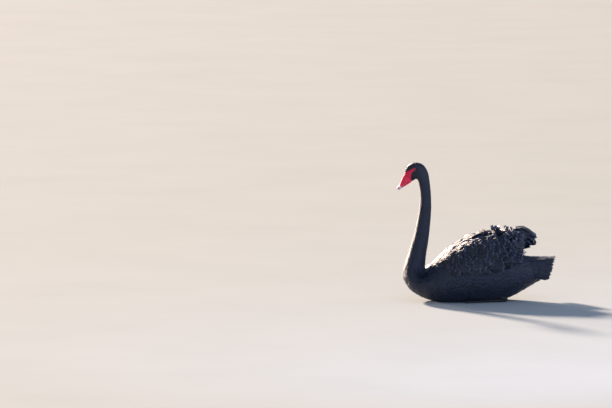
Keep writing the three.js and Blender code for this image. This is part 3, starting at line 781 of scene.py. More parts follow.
def eye_material(settings):
    """A wet cornea over a dark red iris, with fine fibres towards a black pupil."""
    made, tree, shader = new_material("wet eye", {
        "Roughness": 0.12,
        "IOR": 1.38,
        "Coat Weight": 1.0,
        "Coat Roughness": 0.02,
    })
    iris = add(tree, "Attribute", attribute_name="iris")
    parts = add(tree, "SeparateXYZ", {0: iris.outputs["Vector"]})
    fibre = add(tree, "Math", {0: parts.outputs[1], 1: 46.0}, operation="MULTIPLY")
    ripple = add(tree, "Math", {0: fibre}, operation="SINE")
    spread = add(tree, "Math", {0: ripple, 1: 0.02, 2: parts}, operation="MULTIPLY_ADD")
    ramp = add(tree, "ValToRGB", {0: spread})
    set_stops(ramp, [
        (0.0, linear("#020202")),
        (0.27, linear("#020202")),
        (0.3, linear("#3a0b08")),
        (0.45, settings.iris),
        (0.62, settings.iris),
        (0.7, linear("#1a0504")),
        (1.0, linear("#0d0405")),
    ])
    fill(shader, {"Base Color": ramp})
    return made


def lid_material(settings):
    """Bare lid skin: dark, faintly red, finely creased and a little moist."""
    made, tree, shader = new_material("lid skin", {"Roughness": 0.42, "IOR": 1.45, "Coat Weight": 0.1})
    place = add(tree, "TexCoord").outputs["Object"]
    creases, tone = mottled(tree, place, 1.5 * MM, 4.0, settings.lid_dark, settings.lid_red)
    bump = add(tree, "Bump", {"Strength": 0.4, "Distance": 0.15 * MM, "Height": creases})
    fill(shader, {"Base Color": tone, "Normal": bump})
    return made


def foot_material(settings):
    """Webbed foot skin: leathery grey-black, in small polygonal scales of about 2 mm."""
    made, tree, shader = new_material("foot leather", {"Roughness": 0.55, "IOR": 1.45})
    place = add(tree, "TexCoord").outputs["Object"]
    scales = add(tree, "TexVoronoi",
                 {"Vector": place, "Scale": 1 / (2.2 * MM)}, feature="DISTANCE_TO_EDGE")
    _, tone = mottled(tree, place, 14 * MM, 5.0, settings.foot_dark, settings.foot_light)
    groove = add(tree, "MapRange", {0: scales.outputs["Distance"], 1: 0.0, 2: 0.12, 3: 0.35, 4: 1.0})
    both = add(tree, "Mix", {0: groove, 6: linear("#0b0b0c"), 7: tone}, data_type="RGBA")
    bump = add(tree, "Bump", {"Strength": 0.6, "Distance": 0.4 * MM, "Height": groove})
    fill(shader, {"Base Color": both.outputs[2], "Normal": bump})
    return made


def floor_material(settings):
    """Matt painted plaster: pale, with a faint unevenness."""
    made, tree, shader = new_material("matt plaster", {"Roughness": 0.85})
    place = add(tree, "TexCoord").outputs["Object"]
    _, tone = mottled(tree, place, 2 / 3, 4.0, settings.floor, linear("#9aa2a5"))
    fill(shader, {"Base Color": tone})
    return made


# Settings


class SwanPlumage(bpy.types.PropertyGroup):
    """Sizes and colours of the plumage."""

    # The plumage colours are the feathers' own sooty black with a blue tint that is painted skylight on
    # the shaded plumage
    plumage_dark: colour_property("Plumage", "Main colour of the feathers", "#0a0f1e")
    plumage_light: colour_property("Plumage, worn", "Colour of older feathers", "#172440")
    ruffle_dark: colour_property("Ruffles", "Main colour of the wing feathers", "#080b15")
    ruffle_light: colour_property("Ruffles, worn", "Colour of older wing feathers", "#18223a")
    # Partly the worn edge's own paler colour, partly a painted blue-grey sky highlight on the curled
    # ruffle edges
    ruffle_edge_and_sky_highlight: colour_property("Ruffle edge", "Colour of the wing feathers' worn edges", "#5f6a86")
    body_edge: colour_property("Body edge", "Colour of the body feathers' worn edges", "#26304a")
    flight: colour_property("Flight feathers", "Colour of the flight feathers", "#ddd3c4")
    head_spacing: FloatProperty(name="Head spacing", description="Distance between head feathers",
                                default=1.25 * MM, min=0.8 * MM, unit="LENGTH")
    neck_spacing: FloatProperty(name="Neck spacing", description="Distance between neck feathers",
                                default=2.9 * MM, min=2 * MM, unit="LENGTH")
    body_spacing: FloatProperty(name="Body spacing", description="Distance between body feathers",
                                default=8.2 * MM, min=5 * MM, unit="LENGTH")
    tail_count: IntProperty(name="Tail feathers", description="Number of tail feathers",
                            default=18, min=8)


class SwanHead(bpy.types.PropertyGroup):
    """Colours of the head and feet."""

    skin_dark: colour_property("Skin", "Colour of the skin under the feathers", "#0d0e12")
    bill_red: colour_property("Bill red", "Main red of the bill and lores", "#f5164a")
    bill_deep: colour_property("Bill deep red", "Darker red of the bill", "#b70a30")
    bill_pale: colour_property("Bill bar", "Pale bar and nail of the bill", "#f0dcdf")
    bill_pink: colour_property("Bill pink", "Pink between bar and nail", "#e79ab0")
    iris: colour_property("Iris", "Colour of the iris", "#7e1a14")
    lid_dark: colour_property("Lid", "Colour of the lids", "#2a1c20")
    lid_red: colour_property("Lid red", "Red of the lids", "#6b2a30")
    foot_dark: colour_property("Foot", "Main colour of legs and feet", "#1c1c1e")
    foot_light: colour_property("Foot, worn", "Paler colour of legs and feet", "#3b3937")


class SwanStage(bpy.types.PropertyGroup):
    """Floor and light."""

    floor: colour_property("Floor", "Colour of the floor", "#8f989b")
    sun_power: FloatProperty(name="Sun", description="Strength of the sun behind the bird", default=10.5)
    fill_power: FloatProperty(name="Fill light", description="Power of the fill light",
                              default=42, unit="POWER")
    sky: FloatProperty(name="Sky", description="Strength of the light all round", default=0.42)


# Skin, head and coat


def coat_depth(t):
    """How deep the skin lies under the feather tips at rows t."""
    return np.interp(t, *COAT_DEPTH)


def coat_root_at(t, turn):
    """The body's surface less the coat's depth, where its feathers grow."""
    return body_at(t, turn, coat_depth(t))


def coat_piece(name, rows, kind, spacing, material, seed, shown):
    """One length of the body's coat: joined feathers, spread over the rows, where they show."""
    t, turn = scatter(rows, lambda at: spacing / MM * np.interp(at, *kind["spacing"]), body_at)
    chance = np.random.default_rng(seed)
    kept = shown(coat_root_at(t, turn))
    t, turn = t[kept], turn[kept]
    luck = chance.random(len(t))
    length = np.interp(t, *kind["length"]) * (0.88 + 0.24 * luck)
    width = np.interp(t, *kind["width"])
    root, lie, out, bend = lay(coat_root_at, t, turn, length, -1, HEAD_END)
    lie = turned(lie, out, LIE_SPREAD * chance.normal(size=len(t)))
    form = kind["form"]
    rise = np.arcsin(np.clip(coat_depth(t) * form["stand"] / length, 0, 0.6))
    shape = {
        "length": length,
        "width": width,
        "lift": rise * 1.5,
        "curl": np.clip(bend, -1.2, 0.8) - rise * 0.9,
        "flip": form["flip"] * (chance.random(len(t)) - 0.35),
        "phase": 2 * np.pi * chance.random(len(t)),
        "wave": form["wave"],
        "frill": form["frill"],
    }
    points, faces, uu, vv = vanes(root - out * 0.5, lie, out, shape, *kind["grid"])
    points[..., 2] = np.maximum(points[..., 2], FLOOR_CLEAR)
    low, high = rows
    make_piece(name, points, faces, material,
               feather_values(uu, vv, luck, length, width, kind["barbs"]),
               patch_places(uu, vv, (t - low) / (high - low), turn / (2 * np.pi)))


def face_shown(points):
    """Feathered places of the head: outside the bare red skin, and outside an oval round each eye
    that is a little wider than high."""
    x = (points[:, 0] - EYE_MIDDLE[0]) / EYE_CLEAR
    z = (points[:, 2] - EYE_MIDDLE[2]) / (0.88 * EYE_CLEAR)
    by_eye = (x * x + z * z < 1) & (np.abs(points[:, 1]) > 12)
    return (in_lore(points, 0.4) < 0.5) & ~by_eye


def neck_shown(points):
    """All places of the neck."""
    return np.ones(len(points), bool)


def body_shown(points):
    """Places of the body that are neither well under a folded wing nor under the floor."""
    x = points[:, 0]
    low = np.interp(x, WING[:, 0], WING[:, 2])
    along = (x > UNDER_WING["front"]) & (x < UNDER_WING["rear"])
    hidden = along & (points[:, 2] > low + UNDER_WING["above"])
    return ~hidden & (points[:, 2] > LOWEST_ROOT)


class SWAN_OT_skin(bpy.types.Operator):
    """One skin from the stern to the bill base, with lids round the eyes"""

    bl_idname = "swan.skin"
    bl_label = "Skin and lids"

    def execute(self, context):
        head = context.scene.swan_head
        t = np.concatenate([
            np.linspace(0, TORSO_END, 110)[:-1],
            np.linspace(TORSO_END, HEAD_START, 80)[:-1],
            np.linspace(HEAD_START, HEAD_END, 110),
        ])
        turn = round_turn(96)
        tt, aa = grid(t, turn)
        bare = in_lore(coat_root_at(tt, aa))
        rings = body_at(tt, aa, coat_depth(tt) * (1 - bare))
        points, faces = loft_mesh(rings[::-1])
        points[..., 2] = np.maximum(points[..., 2], FLOOR_CLEAR)
        unwrap_t = np.concatenate([[t[-1]], t[::-1], [t[0]]]) / HEAD_END
        patches = np.stack(grid(unwrap_t, turn / (2 * np.pi)), -1)
        make_piece("skin", points, faces, skin_material(head),
                   {"lore": in_lore(points)}, patches,
                   ("torso", "neck_lower", "neck_middle", "neck_upper", "head"))
        material = lid_material(head)
        for name, side in SIDES:
            self.lids(name, side, material)
        return {"FINISHED"}

    def lids(self, name, side, material):
        """A ring round the eye: from the rim of an almond opening, up over a rolled edge, and
        down under the feathers. It is set by the angle from the eye's axis."""
        wide, high = LID_OPENING
        share, phi = grid(np.linspace(0, 1, 15), round_turn(72))
        opening = 1 / np.sqrt((np.cos(phi) / wide) ** 2 + (np.sin(phi) / high) ** 2)
        polar = opening + (LID_EDGE - opening) * share
        crease = 0.12 * np.sin(share * 16) * share * (1 - share)
        points = eye_at(side, polar, phi, EYE_RADIUS + np.interp(share, *LID_FORM) + crease)
        faces = grid_faces(*share.shape, closed=True)
        make_piece("lids_" + name, points, faces, material)


class SWAN_OT_eyes(bpy.types.Operator):
    """The two eyeballs, each with its cornea"""

    bl_idname = "swan.eyes"
    bl_label = "Eyes"

    def execute(self, context):
        material = eye_material(context.scene.swan_head)
        for name, side in SIDES:
            polar, phi = grid(np.linspace(0, np.pi, 33), round_turn(48))
            cornea = 0.5 * smooth(0.75, 0.2, polar)
            points = eye_at(side, polar, phi, EYE_RADIUS - 0.25 + cornea)
            faces = grid_faces(*polar.shape, closed=True)
            values = {"iris": np.stack([polar, phi, 0 * polar], -1)}
            make_piece("eye_ball_" + name, points, faces, material, values,
                       replaces=("eye_" + name,))
        return {"FINISHED"}


class SWAN_OT_bill(bpy.types.Operator):
    """Upper and lower bill with nail, nostrils and mouth line"""

    bl_idname = "swan.bill"
    bl_label = "Bill"

    def execute(self, context):
        material = bill_material(context.scene.swan_head)
        self.upper(material)
        self.lower(material)
        return {"FINISHED"}

    def upper(self, material):
        """An arch from edge to edge with nail and nostrils, closed under by a hollow palate."""
        s, top, mouth, _, half = bill_rows(len(BILL) - 1, 150)
        angle = np.linspace(0, np.pi, 61)[None]
        up = mouth + (top - mouth) * np.sin(angle) ** 0.85
        side = half * np.cos(angle)
        on_nail = (smooth(NAIL["start"] - 1, NAIL["start"] + 1.5, s)
                   * smooth(NAIL["half"], NAIL["half"] - 1.2, np.abs(side)))
        away = (((s - NOSTRIL["along"]) / NOSTRIL["long"]) ** 2
                + ((up - NOSTRIL["up"]) / NOSTRIL["high"]) ** 2)
        pit = np.exp(-(away**1.5))
        rim = np.exp(-((np.sqrt(away) - 1.5) ** 2) / 0.12)
        up = up + NAIL["rise"] * on_nail * np.sin(angle)
        side = side - np.sign(np.cos(angle)) * (NOSTRIL["deep"] * pit - NOSTRIL["rim"] * rim)
        under = np.linspace(-1, 1, 15)[1:-1][None]
        palate = mouth + PALATE_RISE * (1 - under**2)
        rings = np.concatenate([bill_at(s, up, side), bill_at(s, palate, half * under)], axis=1)
        points, faces = loft_mesh(rings)
        # Mask for painted shade: strong in the nostril pits, 0.6 under the palate
        hollow = np.zeros(points.shape[:2])
        hollow[1:-1, : angle.shape[1]] = np.clip(pit * 1.3, 0, 1)
        hollow[1:-1, angle.shape[1] :] = 0.6
        make_piece("bill_upper_horn", points, faces[:, ::-1], material,
                   {"pit": hollow}, replaces=("bill_upper",))

    def lower(self, material):
        """A shallow trough inside the upper bill's edges, closed above by a flat."""
        s, _, mouth, chin, half = bill_rows(LOWER_LAST, 110)
        angle = np.linspace(0, np.pi, 41)[None]
        lip = mouth - LIP_GAP
        wide = half - LOWER_INSET
        up = lip + (chin - lip) * np.sin(angle) ** 0.8
        flat = wide * np.linspace(-1, 1, 9)[1:-1][None]
        rings = np.concatenate([bill_at(s, up, wide * np.cos(angle)), bill_at(s, lip, flat)], axis=1)
        points, faces = loft_mesh(rings)
        make_piece("bill_lower_horn", points, faces, material,
                   {"pit": np.zeros(points.shape[:2])}, replaces=("bill_lower",))


class SWAN_OT_coat(bpy.types.Operator):
    """Contour feathers of head, neck and body"""

    bl_idname = "swan.coat"
    bl_label = "Coat"

    def execute(self, context):
        s = context.scene.swan_plumage
        plush = feather_material("head plush", s.plumage_dark, s.plumage_light, s.plumage_light,
                                 edge_share=0.3, edge_from=0.5, barb_depth=0.1)
        contour = feather_material("contour feathers", s.plumage_dark, s.plumage_light, s.body_edge,
                                   edge_share=0.8, edge_from=0.82, barb_depth=0.2)
        head = (HEAD_START, HEAD_END - 0.02)
        neck = (TORSO_END - 0.4, HEAD_START + 0.5)
        breast = (COAT_SPLIT, TORSO_END + 0.2)
        flank = (0.05, COAT_SPLIT)
        coat_piece("coat_head", head, HEAD_COAT, s.head_spacing, plush, 5, face_shown)
        coat_piece("coat_neck", neck, NECK_COAT, s.neck_spacing, contour, 6, neck_shown)
        coat_piece("coat_breast", breast, BODY_COAT, s.body_spacing, contour, 7, body_shown)
        coat_piece("coat_flank", flank, BODY_COAT, s.body_spacing, contour, 8, body_shown)
        return {"FINISHED"}


# Wings


def bed_inset(row):
    """How deep the wing's bed lies under the feather tips, less at the shoulder."""
    return WING_BED * np.minimum(1, 0.55 + row / 4)


def bed_at(row, turn):
    """The wing's bed: the wing's arch less the feathers' depth, and past a quarter turn a shelf
    that runs in to the midline."""
    points = wing_at(row, np.clip(turn, 0, 0.5 * np.pi), bed_inset(row))
    over = np.clip((turn - 0.5 * np.pi) / SHELF_TURN, 0, 1)
    points[..., 1] += (WING_MIDLINE - points[..., 1]) * over
    points[..., 2] -= SHELF_DROP * over
    return points


def dome_at(share, turn):
    """The wing's rear end: the bed's last row, drawn in along a quarter ellipse to halfway between
    itself and the dome's middle, and back by the dome's depth."""
    last = bed_at(np.full(np.shape(turn), WING_END), turn)
    inward = 0.5 * (last + last * [1, 0, 0] + DOME_MIDDLE)
    angle = 0.5 * np.pi * share
    points = inward + (last - inward) * np.cos(angle)[..., None]
    points[..., 0] += DOME_DEPTH * np.sin(angle)
    return points


def wing_bed(name, side, material):
    """The wing under its feathers: its bed closed to the midline, with a domed rear end."""
    turn = np.linspace(0, WING_TURN, 34)
    arch = np.concatenate([
        bed_at(*grid(np.linspace(0, WING_END, 60), turn)),
        dome_at(*grid(np.linspace(0.1, 1, 10), turn)),
    ])
    low = arch[:, :1]
    inner_low = low * [1, 0, 1] + np.array([0, WING_MIDLINE, BED_RISE])
    rings = np.concatenate([arch, inner_low, low * [1, BED_BEND, 1]], axis=1)
    points, faces = loft_mesh(rings)
    points, faces = mirrored(points, faces[:, ::-1], side)
    rows, cols = points.shape[:2]
    unwrap = np.stack(grid(np.linspace(0, 1, rows), np.linspace(0, 1, cols)), -1)
    make_piece("wing_bed_" + name, points, faces, material,
               {"vane": np.zeros((rows, cols, 3)), "barb": np.zeros((rows, cols))}, unwrap)


def wing_piece(name, side, made, shape, luck, places, material, replaces=()):
    """Feathers of one wing as a piece, turned to their side. None reaches further than the overlap
    past the midline."""
    points, faces, uu, vv = made
    points[..., 1] = np.maximum(points[..., 1], -WING_OVERLAP)
    points, faces = mirrored(points, faces, side)
    make_piece(name, points, faces, material,
               feather_values(uu, vv, luck, shape["length"], shape["width"], VANE_BARBS),
               patch_places(uu, vv, *places), replaces)


def ruffle_places(chance):
    """Row, turn and added curl of a wing's feathers: tier after tier, every second one half a
    place further up, and the crests last."""
    rows = []
    turns = []
    for k, tier in enumerate(np.linspace(0.03, WING_END - 0.1, RUFFLE_TIERS)):
        many = int(np.interp(tier, *RUFFLE_COUNT))
        place = (np.arange(many) + 0.5 * (k % 2) + 0.15) / many
        turns.append(0.06 + 1.46 * np.clip(place, 0, 1))
        turns.append(np.array(SHELF_PLACES) + 0.1 * (k % 2))
        rows.append(np.full(many + len(SHELF_PLACES), tier))
    row = np.concatenate(rows)
    turn = np.concatenate(turns)
    row = np.clip(row + 0.12 * chance.normal(size=len(row)), 0.02, WING_END)
    turn = np.clip(turn + 0.03 * chance.normal(size=len(row)), 0.04, 2.1)
    crest_row, crest_turn, crest_curl = np.array(CRESTS).T
    curled = np.concatenate([np.zeros(len(row)), crest_curl])
    return np.concatenate([row, crest_row]), np.concatenate([turn, crest_turn]), curled


def ruffle_roots(row, turn, length, chance):
    """Root, lie, outward normal and bend of feathers on the right wing. They droop at its side."""
    turn_in = np.clip(turn, 2 * STEP, WING_TURN - 2 * STEP)
    root, lie, out, bend = lay(bed_at, row, turn_in, length, 1, WING_END)
    droop = 0.2 * np.clip(np.cos(turn), 0, 1)
    lie = unit(lie - droop[:, None] * np.array([0, 0, 1]))
    lie = turned(lie, out, 0.14 * chance.normal(size=len(row)))
    return root - out * 1.2, lie, out, bend


class SWAN_OT_wings(bpy.types.Operator):
    """Folded wings with tiers of ruffled feathers, and the flight feathers under them"""

    bl_idname = "swan.wings"
    bl_label = "Wings"

    def execute(self, context):
        s = context.scene.swan_plumage
        # The ruffles' paler edges are wear plus a painted sky highlight
        ruffle = feather_material("ruffled feathers", s.ruffle_dark, s.ruffle_light, s.ruffle_edge_and_sky_highlight,
                                  edge_share=0.8, edge_from=0.84, barb_depth=0.35)
        white = feather_material("flight feathers", s.flight, s.flight, s.ruffle_edge_and_sky_highlight,
                                 edge_share=0.25, edge_from=0.8, barb_depth=0.35)
        for name, side in SIDES:
            wing_bed(name, side, ruffle)
            self.ruffles(name, side, ruffle)
            self.rear(name, side, ruffle)
            self.flight(name, side, white)
        return {"FINISHED"}

    def ruffles(self, name, side, material):
        """Tiers from front to back. Feathers grow longer, wider and more ruffled to the rear, lie
        flat on the shelf, and the last tiers hang over the rump."""
        chance = np.random.default_rng(WING_SEEDS[name])
        row, turn, curled = ruffle_places(chance)
        count = len(row)
        luck = chance.random(count)
        later = RUFFLE["rough_rows"] * smooth(*RUFFLE["rough_top"], turn)
        rough = smooth(0, 1, (row - RUFFLE["rough_row"] - later) / RUFFLE["rough_rows"])
        trail = smooth(*RUFFLE["trail_row"], row) * smooth(*RUFFLE["trail_turn"], turn)
        hang = trail * (REACH_BACK[name] > 1)
        flat = smooth(*RUFFLE["flat_turn"], turn) * (curled == 0) * (1 - trail)
        short = 0.42 * smooth(*RUFFLE["short_row"], row) * smooth(*RUFFLE["short_turn"], turn)
        length = np.interp(row, *RUFFLE_LENGTH) * (0.86 + 0.28 * luck)
        length = length * (1 - short)
        length = np.where(curled > 0, CREST_LENGTH, length * (1 + (REACH_BACK[name] - 1) * trail))
        width = np.interp(row, *RUFFLE_WIDTH) * (0.85 + 0.3 * chance.random(count))
        width = np.where(curled > 0, CREST_WIDTH, width)
        root, lie, out, bend = ruffle_roots(row, turn, length, chance)
        over_rump = 1.2 * trail * (0.8 + 0.2 * luck) + 0.9 * hang
        flip = rough * (0.3 + 0.8 * chance.random(count)) * (1 - 0.7 * trail) * (1 - flat)
        shape = {
            "length": length,
            "width": width,
            "lift": 0.17 + 0.1 * rough - 0.17 * trail + 0.24 * hang + 0.15 * curled - 0.2 * flat,
            "curl": 0.85 * np.clip(bend, -1.1, 0.5) - 0.1 - over_rump + curled,
            "flip": 0.1 + flip + 0.5 * hang,
            "phase": 2 * np.pi * chance.random(count),
            "wave": 0.2 + 6.4 * rough * (0.5 + 0.6 * chance.random(count)) * (1 - 0.75 * flat),
            "frill": 0.2 + 3.0 * rough + 3.0 * hang,
        }
        made = vanes(root, lie, out, shape, 16, 15)
        made[0][..., 1] -= PRESS * np.maximum(made[0][..., 1] - PRESS_FROM, 0)
        wing_piece("ruffles_" + name, side, made, shape, luck,
                   (row / WING_END, turn / WING_TURN), material, ("wing_" + name,))

    def rear(self, name, side, material):
        """Feathers that hang down and back over the wing's domed rear end."""
        chance = np.random.default_rng(WING_SEEDS[name] + 1)
        share = np.concatenate([np.full(many, at) for at, _, _, many in DOME_TIERS])
        turn = np.concatenate([np.linspace(low, high, many) for _, low, high, many in DOME_TIERS])
        turn = turn + 0.05 * chance.normal(size=len(turn))
        root = dome_at(share, turn)
        back = dome_at(share + STEP, turn) - root
        out = unit(np.cross(back, dome_at(share, turn + STEP) - root))
        out = out * np.sign(out[:, :1])
        hang = np.array([0.35, 0, -1.0])
        lie = unit(hang - out * np.sum(out * hang, -1)[:, None])
        luck = chance.random(len(turn))
        shape = {
            "length": 44 + 14 * luck,
            "width": 40 + 12 * chance.random(len(turn)),
            "lift": 0.3,
            "curl": -0.5,
            "flip": 0.6 * luck,
            "phase": 2 * np.pi * luck,
            "wave": 3.5,
            "frill": 2.5,
        }
        wing_piece("wing_rear_" + name, side, vanes(root - out * 2, lie, out, shape, 14, 11), shape,
                   luck, (0.9 + 0.1 * share, turn / WING_TURN), material)

    def flight(self, name, side, material):
        """The folded primaries: long narrow vanes that lie over one another under the ruffles."""
        n = np.arange(PRIMARIES)
        one = np.ones(PRIMARIES)
        root = np.array(PRIMARY_ROOT) + np.outer(n, PRIMARY_SHIFT)
        lie = unit(np.stack([one, -0.12 * one, 0.06 - 0.02 * n], -1))
        out = unit(np.tile([0.0, 0.25, 1.0], (PRIMARIES, 1)))
        shape = {
            "length": PRIMARY_LENGTH - PRIMARY_SHORTER * n,
            "width": PRIMARY_WIDTH * one,
            "lift": 0,
            "curl": -0.1,
            "flip": 0,
            "phase": 0,
            "wave": 0,
            "frill": 0,
        }
        wing_piece("flight_" + name, side, vanes(root, lie, out, shape, 16, 9), shape,
                   n / PRIMARIES, (0.1 + n / 8, 0.5 * one), material)


# Tail


class SWAN_OT_tail(bpy.types.Operator):
    """The tail: a tent of broad feathers, with shorter covers over their roots and more tiers inside"""

    bl_idname = "swan.tail"
    bl_label = "Tail"

    def execute(self, context):
        s = context.scene.swan_plumage
        material = feather_material("tail feathers", s.plumage_dark, s.plumage_light, s.body_edge,
                                    edge_share=0.8, edge_from=0.86, barb_depth=0.35)
        chance = np.random.default_rng(41)
        steps, cols = 18, 9
        uu, vv = grid(np.linspace(0, 1, steps + 1), np.linspace(-1, 1, cols))
        grown = 0.5 + 0.5 * np.sin(0.5 * np.pi * np.minimum(1, uu / 0.6))
        rounded = np.sqrt(1 - 0.6 * np.clip((uu - 0.8) / 0.2, 0, 1) ** 2)
        arched = 1.3 * vv**2 + 2.2 * (1 - smooth(0, 0.4, uu))
        points = []
        places = []
        for fewer, start, end, raised, half in TAIL_TIERS:
            count = s.tail_count - fewer
            beta = np.linspace(-1, 1, count) * (TAIL["spread"] - 0.12)
            uneven = 0.03 * chance.normal(size=count) * (raised > 0)
            reach = end + uneven + 0.04 * np.exp(-((beta / 0.35) ** 2))
            spread = beta[:, None, None] + half * grown * rounded * vv
            along = start + (reach[:, None, None] - start) * (uu - 0.07 * vv**2 * uu**5)
            nest = 1.1 * np.sign(beta)[:, None, None] * vv + 0.7 * (np.arange(count) % 2)[:, None, None]
            points.append(tail_at(along, spread, raised - 1.0 + nest - arched))
            root_place = np.full(count, (start + 0.35) / 1.4)
            places.append(np.stack([0.5 + 0.5 * beta / TAIL["spread"], root_place]))
        points = np.concatenate(points)
        count = len(points)
        length, width = (np.full(count, size) for size in TAIL_FEATHER)
        make_piece("tail_vanes", points, many_faces(count, steps + 1, cols), material,
                   feather_values(uu, vv, chance.random(count), length, width, VANE_BARBS),
                   patch_places(uu, vv, *np.concatenate(places, axis=1)), ("tail",))
        return {"FINISHED"}


# Legs and feet


def tube(path, sides, count):
    """Rings round a smooth path. Each row of the path is a point and a radius."""
    rows = along_rows(path, np.linspace(0, len(path) - 1, count))
    middle = rows[:, :3]
    along = unit(np.gradient(middle, axis=0))
    side = unit(np.cross(along, [0, 0, 1]))
    over = np.cross(side, along)
    turn = round_turn(sides)
    spoke = side[:, None] * np.cos(turn)[:, None] + over[:, None] * np.sin(turn)[:, None]
    return middle[:, None] + spoke * rows[:, None, 3:]


def web_rings():
    """The right foot: cross lines from the knuckle to the front edge. Across each line the height
    is the web's, plus a rounded ridge over each of the three toes with scutes across it."""
    s = np.linspace(0.02, 1, 90)[:, None]
    w = np.linspace(-1.1, 1.1, 67)[None]
    inner, middle, outer = (np.array(tip, float) for tip in TOE_TIPS)
    knuckle = np.array(KNUCKLE, float)
    tip = np.where(w[..., None] < 0, middle + (inner - middle) * -w[..., None],
                   middle + (outer - middle) * w[..., None])
    hollow = 1 - 0.2 * np.sin(np.pi * np.clip(np.abs(w), 0, 1)) ** 2 * s**2
    spread = knuckle + (tip - knuckle) * (s * hollow)[..., None]
    gap = np.linalg.norm(tip - knuckle, axis=-1)
    apart = TOE_SPREAD * s + TOE_GAP
    ridge = np.zeros(np.broadcast_shapes(s.shape, w.shape))
    radius = TOE_RADIUS - TOE_TAPER * s
    for toe in (-1, 0, 1):
        away = (w - toe) * apart / radius
        scute = 1 + 0.1 * np.sin(2 * np.pi * s * gap / SCUTE)
        ridge = np.maximum(ridge, np.exp(-(away**2)) * scute)
    fold = FOLD_HEIGHT * np.sin(w * WEB_FOLDS) * s
    high = WEB_HEIGHT + TOE_RISE * radius * ridge + fold * (1 - ridge)
    top = np.concatenate([spread, high[..., None]], axis=-1)
    under = np.concatenate([spread, np.full(high.shape + (1,), FLOOR_CLEAR)], axis=-1)[:, ::-1]
    return np.concatenate([top, under], axis=1)


class SWAN_OT_feet(bpy.types.Operator):
    """Shanks, webbed feet and claws, tucked under the flanks"""

    bl_idname = "swan.feet"
    bl_label = "Legs and feet"

    def execute(self, context):
        leather = foot_material(context.scene.swan_head)
        horn = new_material("claw horn", {
            "Base Color": linear("#121113"),
            "Roughness": 0.32,
            "IOR": 1.54,
        })[0]
        for name, side in SIDES:
            foot = [web_rings(), tube(HIND_TOE, 12, 14)]
            limb = [tube(SHANK, 20, 60), tube(THIGH, 20, 24)]
            claws = []
            for x, y in TOE_TIPS:
                path = np.array([[x + ahead, y, z, radius] for ahead, z, radius in CLAW])
                claws.append(tube(path, 12, 16))
            self.part("web_" + name, side, foot, leather, "foot_" + name)
            self.part("shank_" + name, side, limb, leather, "leg_" + name)
            self.part("claws_" + name, side, claws, horn, None)
        return {"FINISHED"}

    def part(self, name, side, forms, material, node):
        """One mesh from several lofts, turned to the bird's left or right side."""
        points = []
        faces = []
        start = 0
        for rings in forms:
            form, quads = loft_mesh(rings)
            form = form.reshape(-1, 3)
            inside_out = signed_volume(form, quads) * side < 0
            points.append(form * [1, side, 1])
            faces.append((quads[:, ::-1] if inside_out else quads) + start)
            start += len(form)
        points = np.concatenate(points)
        points[:, 2] = np.maximum(points[:, 2], FLOOR_CLEAR)
        make_piece(name, points, np.concatenate(faces), material,
                   replaces=(node,) if node else ())


# Stage


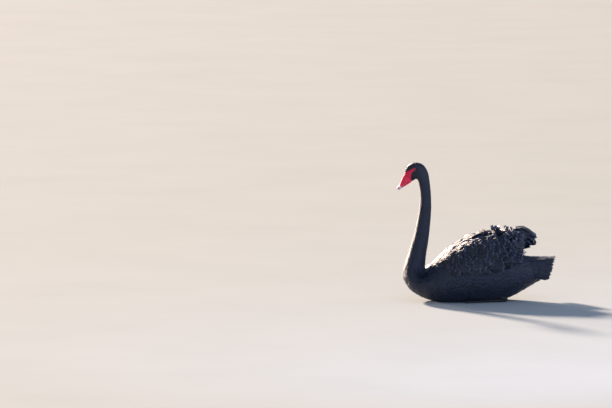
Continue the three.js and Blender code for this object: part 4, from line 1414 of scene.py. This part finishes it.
class SWAN_OT_stage(bpy.types.Operator):
    """Pale floor, soft light and the camera at the photograph's place"""

    bl_idname = "swan.stage"
    bl_label = "Stage"

    def execute(self, context):
        s = context.scene.swan_stage
        mesh = bpy.data.meshes.new("floor")
        far = 90.0
        corner_points = [(-far, -far, 0), (far, -far, 0), (far, far, 0), (-far, far, 0)]
        mesh.from_pydata(corner_points, [], [(0, 1, 2, 3)])
        mesh.materials.append(floor_material(s))
        floor = bpy.data.objects.new("floor", mesh)
        context.scene.collection.objects.link(floor)
        self.light("sun", (-1.3, 2.6, 1.5), None, s.sun_power, "#ffe6d2")
        self.light("rim", (-1.8, 2.5, 0.45), None, 0.36 * s.sun_power, "#ffe6d2")
        self.light("fill", (0.4, -2.8, 1.9), 2.6, s.fill_power, "#b6cdff")
        self.light("side", (2.4, -0.4, 1.4), 1.8, 0.35 * s.fill_power, "#d5e0ff")
        world = bpy.data.worlds.new("studio")
        context.scene.world = world
        context.scene.view_settings.view_transform = "Standard"
        world.use_nodes = True
        background = world.node_tree.nodes["Background"]
        background.inputs["Color"].default_value = linear("#d5dfee")
        background.inputs["Strength"].default_value = s.sky
        self.camera(context)
        return {"FINISHED"}

    def light(self, name, place, size, power, hex_colour):
        """A square soft light aimed at the bird's back, or without a size a soft-edged sun."""
        if size is None:
            data = bpy.data.lights.new(name, "SUN")
            data.angle = math.radians(7)
        else:
            data = bpy.data.lights.new(name, "AREA")
            data.size = size
        data.energy = power
        data.color = linear(hex_colour)[:3]
        lamp = bpy.data.objects.new(name, data)
        aim = Vector((0, 0, 0.2)) - Vector(place)
        lamp.matrix_world = Matrix.Translation(place) @ aim.to_track_quat("-Z", "Y").to_matrix().to_4x4()
        bpy.context.scene.collection.objects.link(lamp)

    def camera(self, context):
        """A long lens 30 m away. The view's middle is set off from a point on the waterline, by
        that point's distance from the middle of the photograph."""
        azimuth = math.radians(-5)
        elevation = math.radians(6)
        distance = 30.0
        metres_per_pixel = 0.00442
        water_point = Vector((-0.3, 0, 0.08))
        water_pixel = (403.2, 283.3)
        back = Vector((
            math.sin(azimuth) * math.cos(elevation),
            -math.cos(azimuth) * math.cos(elevation),
            math.sin(elevation),
        ))
        right = Vector((math.cos(azimuth), math.sin(azimuth), 0))
        up = back.cross(right)
        aim = (water_point - right * (water_pixel[0] - IMAGE[0] / 2) * metres_per_pixel
               + up * (water_pixel[1] - IMAGE[1] / 2) * metres_per_pixel)
        data = bpy.data.cameras.new("camera")
        data.sensor_width = 36
        data.lens = 36 * distance / (IMAGE[0] * metres_per_pixel)
        data.clip_end = 200
        camera = bpy.data.objects.new("camera", data)
        turn = Matrix((right, up, back)).transposed().to_4x4()
        camera.matrix_world = Matrix.Translation(aim + back * distance) @ turn
        context.scene.collection.objects.link(camera)
        context.scene.camera = camera


class SWAN_PT_panel(bpy.types.Panel):
    """Lists the swan's operators"""

    bl_idname = "SWAN_PT_panel"
    bl_label = "Swan"
    bl_space_type = "VIEW_3D"
    bl_region_type = "UI"
    bl_category = "Swan"

    def draw(self, context):
        for step in STEPS:
            self.layout.operator(step.bl_idname)


STEPS = (
    SWAN_OT_stage,
    SWAN_OT_skin,
    SWAN_OT_eyes,
    SWAN_OT_bill,
    SWAN_OT_coat,
    SWAN_OT_wings,
    SWAN_OT_tail,
    SWAN_OT_feet,
)
GROUPS = {"swan_plumage": SwanPlumage, "swan_head": SwanHead, "swan_stage": SwanStage}


def register():
    """Registers the settings, the operators and the panel."""
    for name, group in GROUPS.items():
        bpy.utils.register_class(group)
        setattr(bpy.types.Scene, name, PointerProperty(type=group))
    for kind in (*STEPS, SWAN_PT_panel):
        bpy.utils.register_class(kind)


def unregister():
    """Removes what register added."""
    for kind in (*STEPS, SWAN_PT_panel):
        bpy.utils.unregister_class(kind)
    for name, group in GROUPS.items():
        delattr(bpy.types.Scene, name)
        bpy.utils.unregister_class(group)


def main():
    """Registers the add-on and builds every piece."""
    register()
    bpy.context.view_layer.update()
    bpy.ops.swan.stage()
    bpy.ops.swan.skin()
    bpy.ops.swan.eyes()
    bpy.ops.swan.bill()
    bpy.ops.swan.coat()
    bpy.ops.swan.wings()
    bpy.ops.swan.tail()
    bpy.ops.swan.feet()


if __name__ == "__main__":
    main()
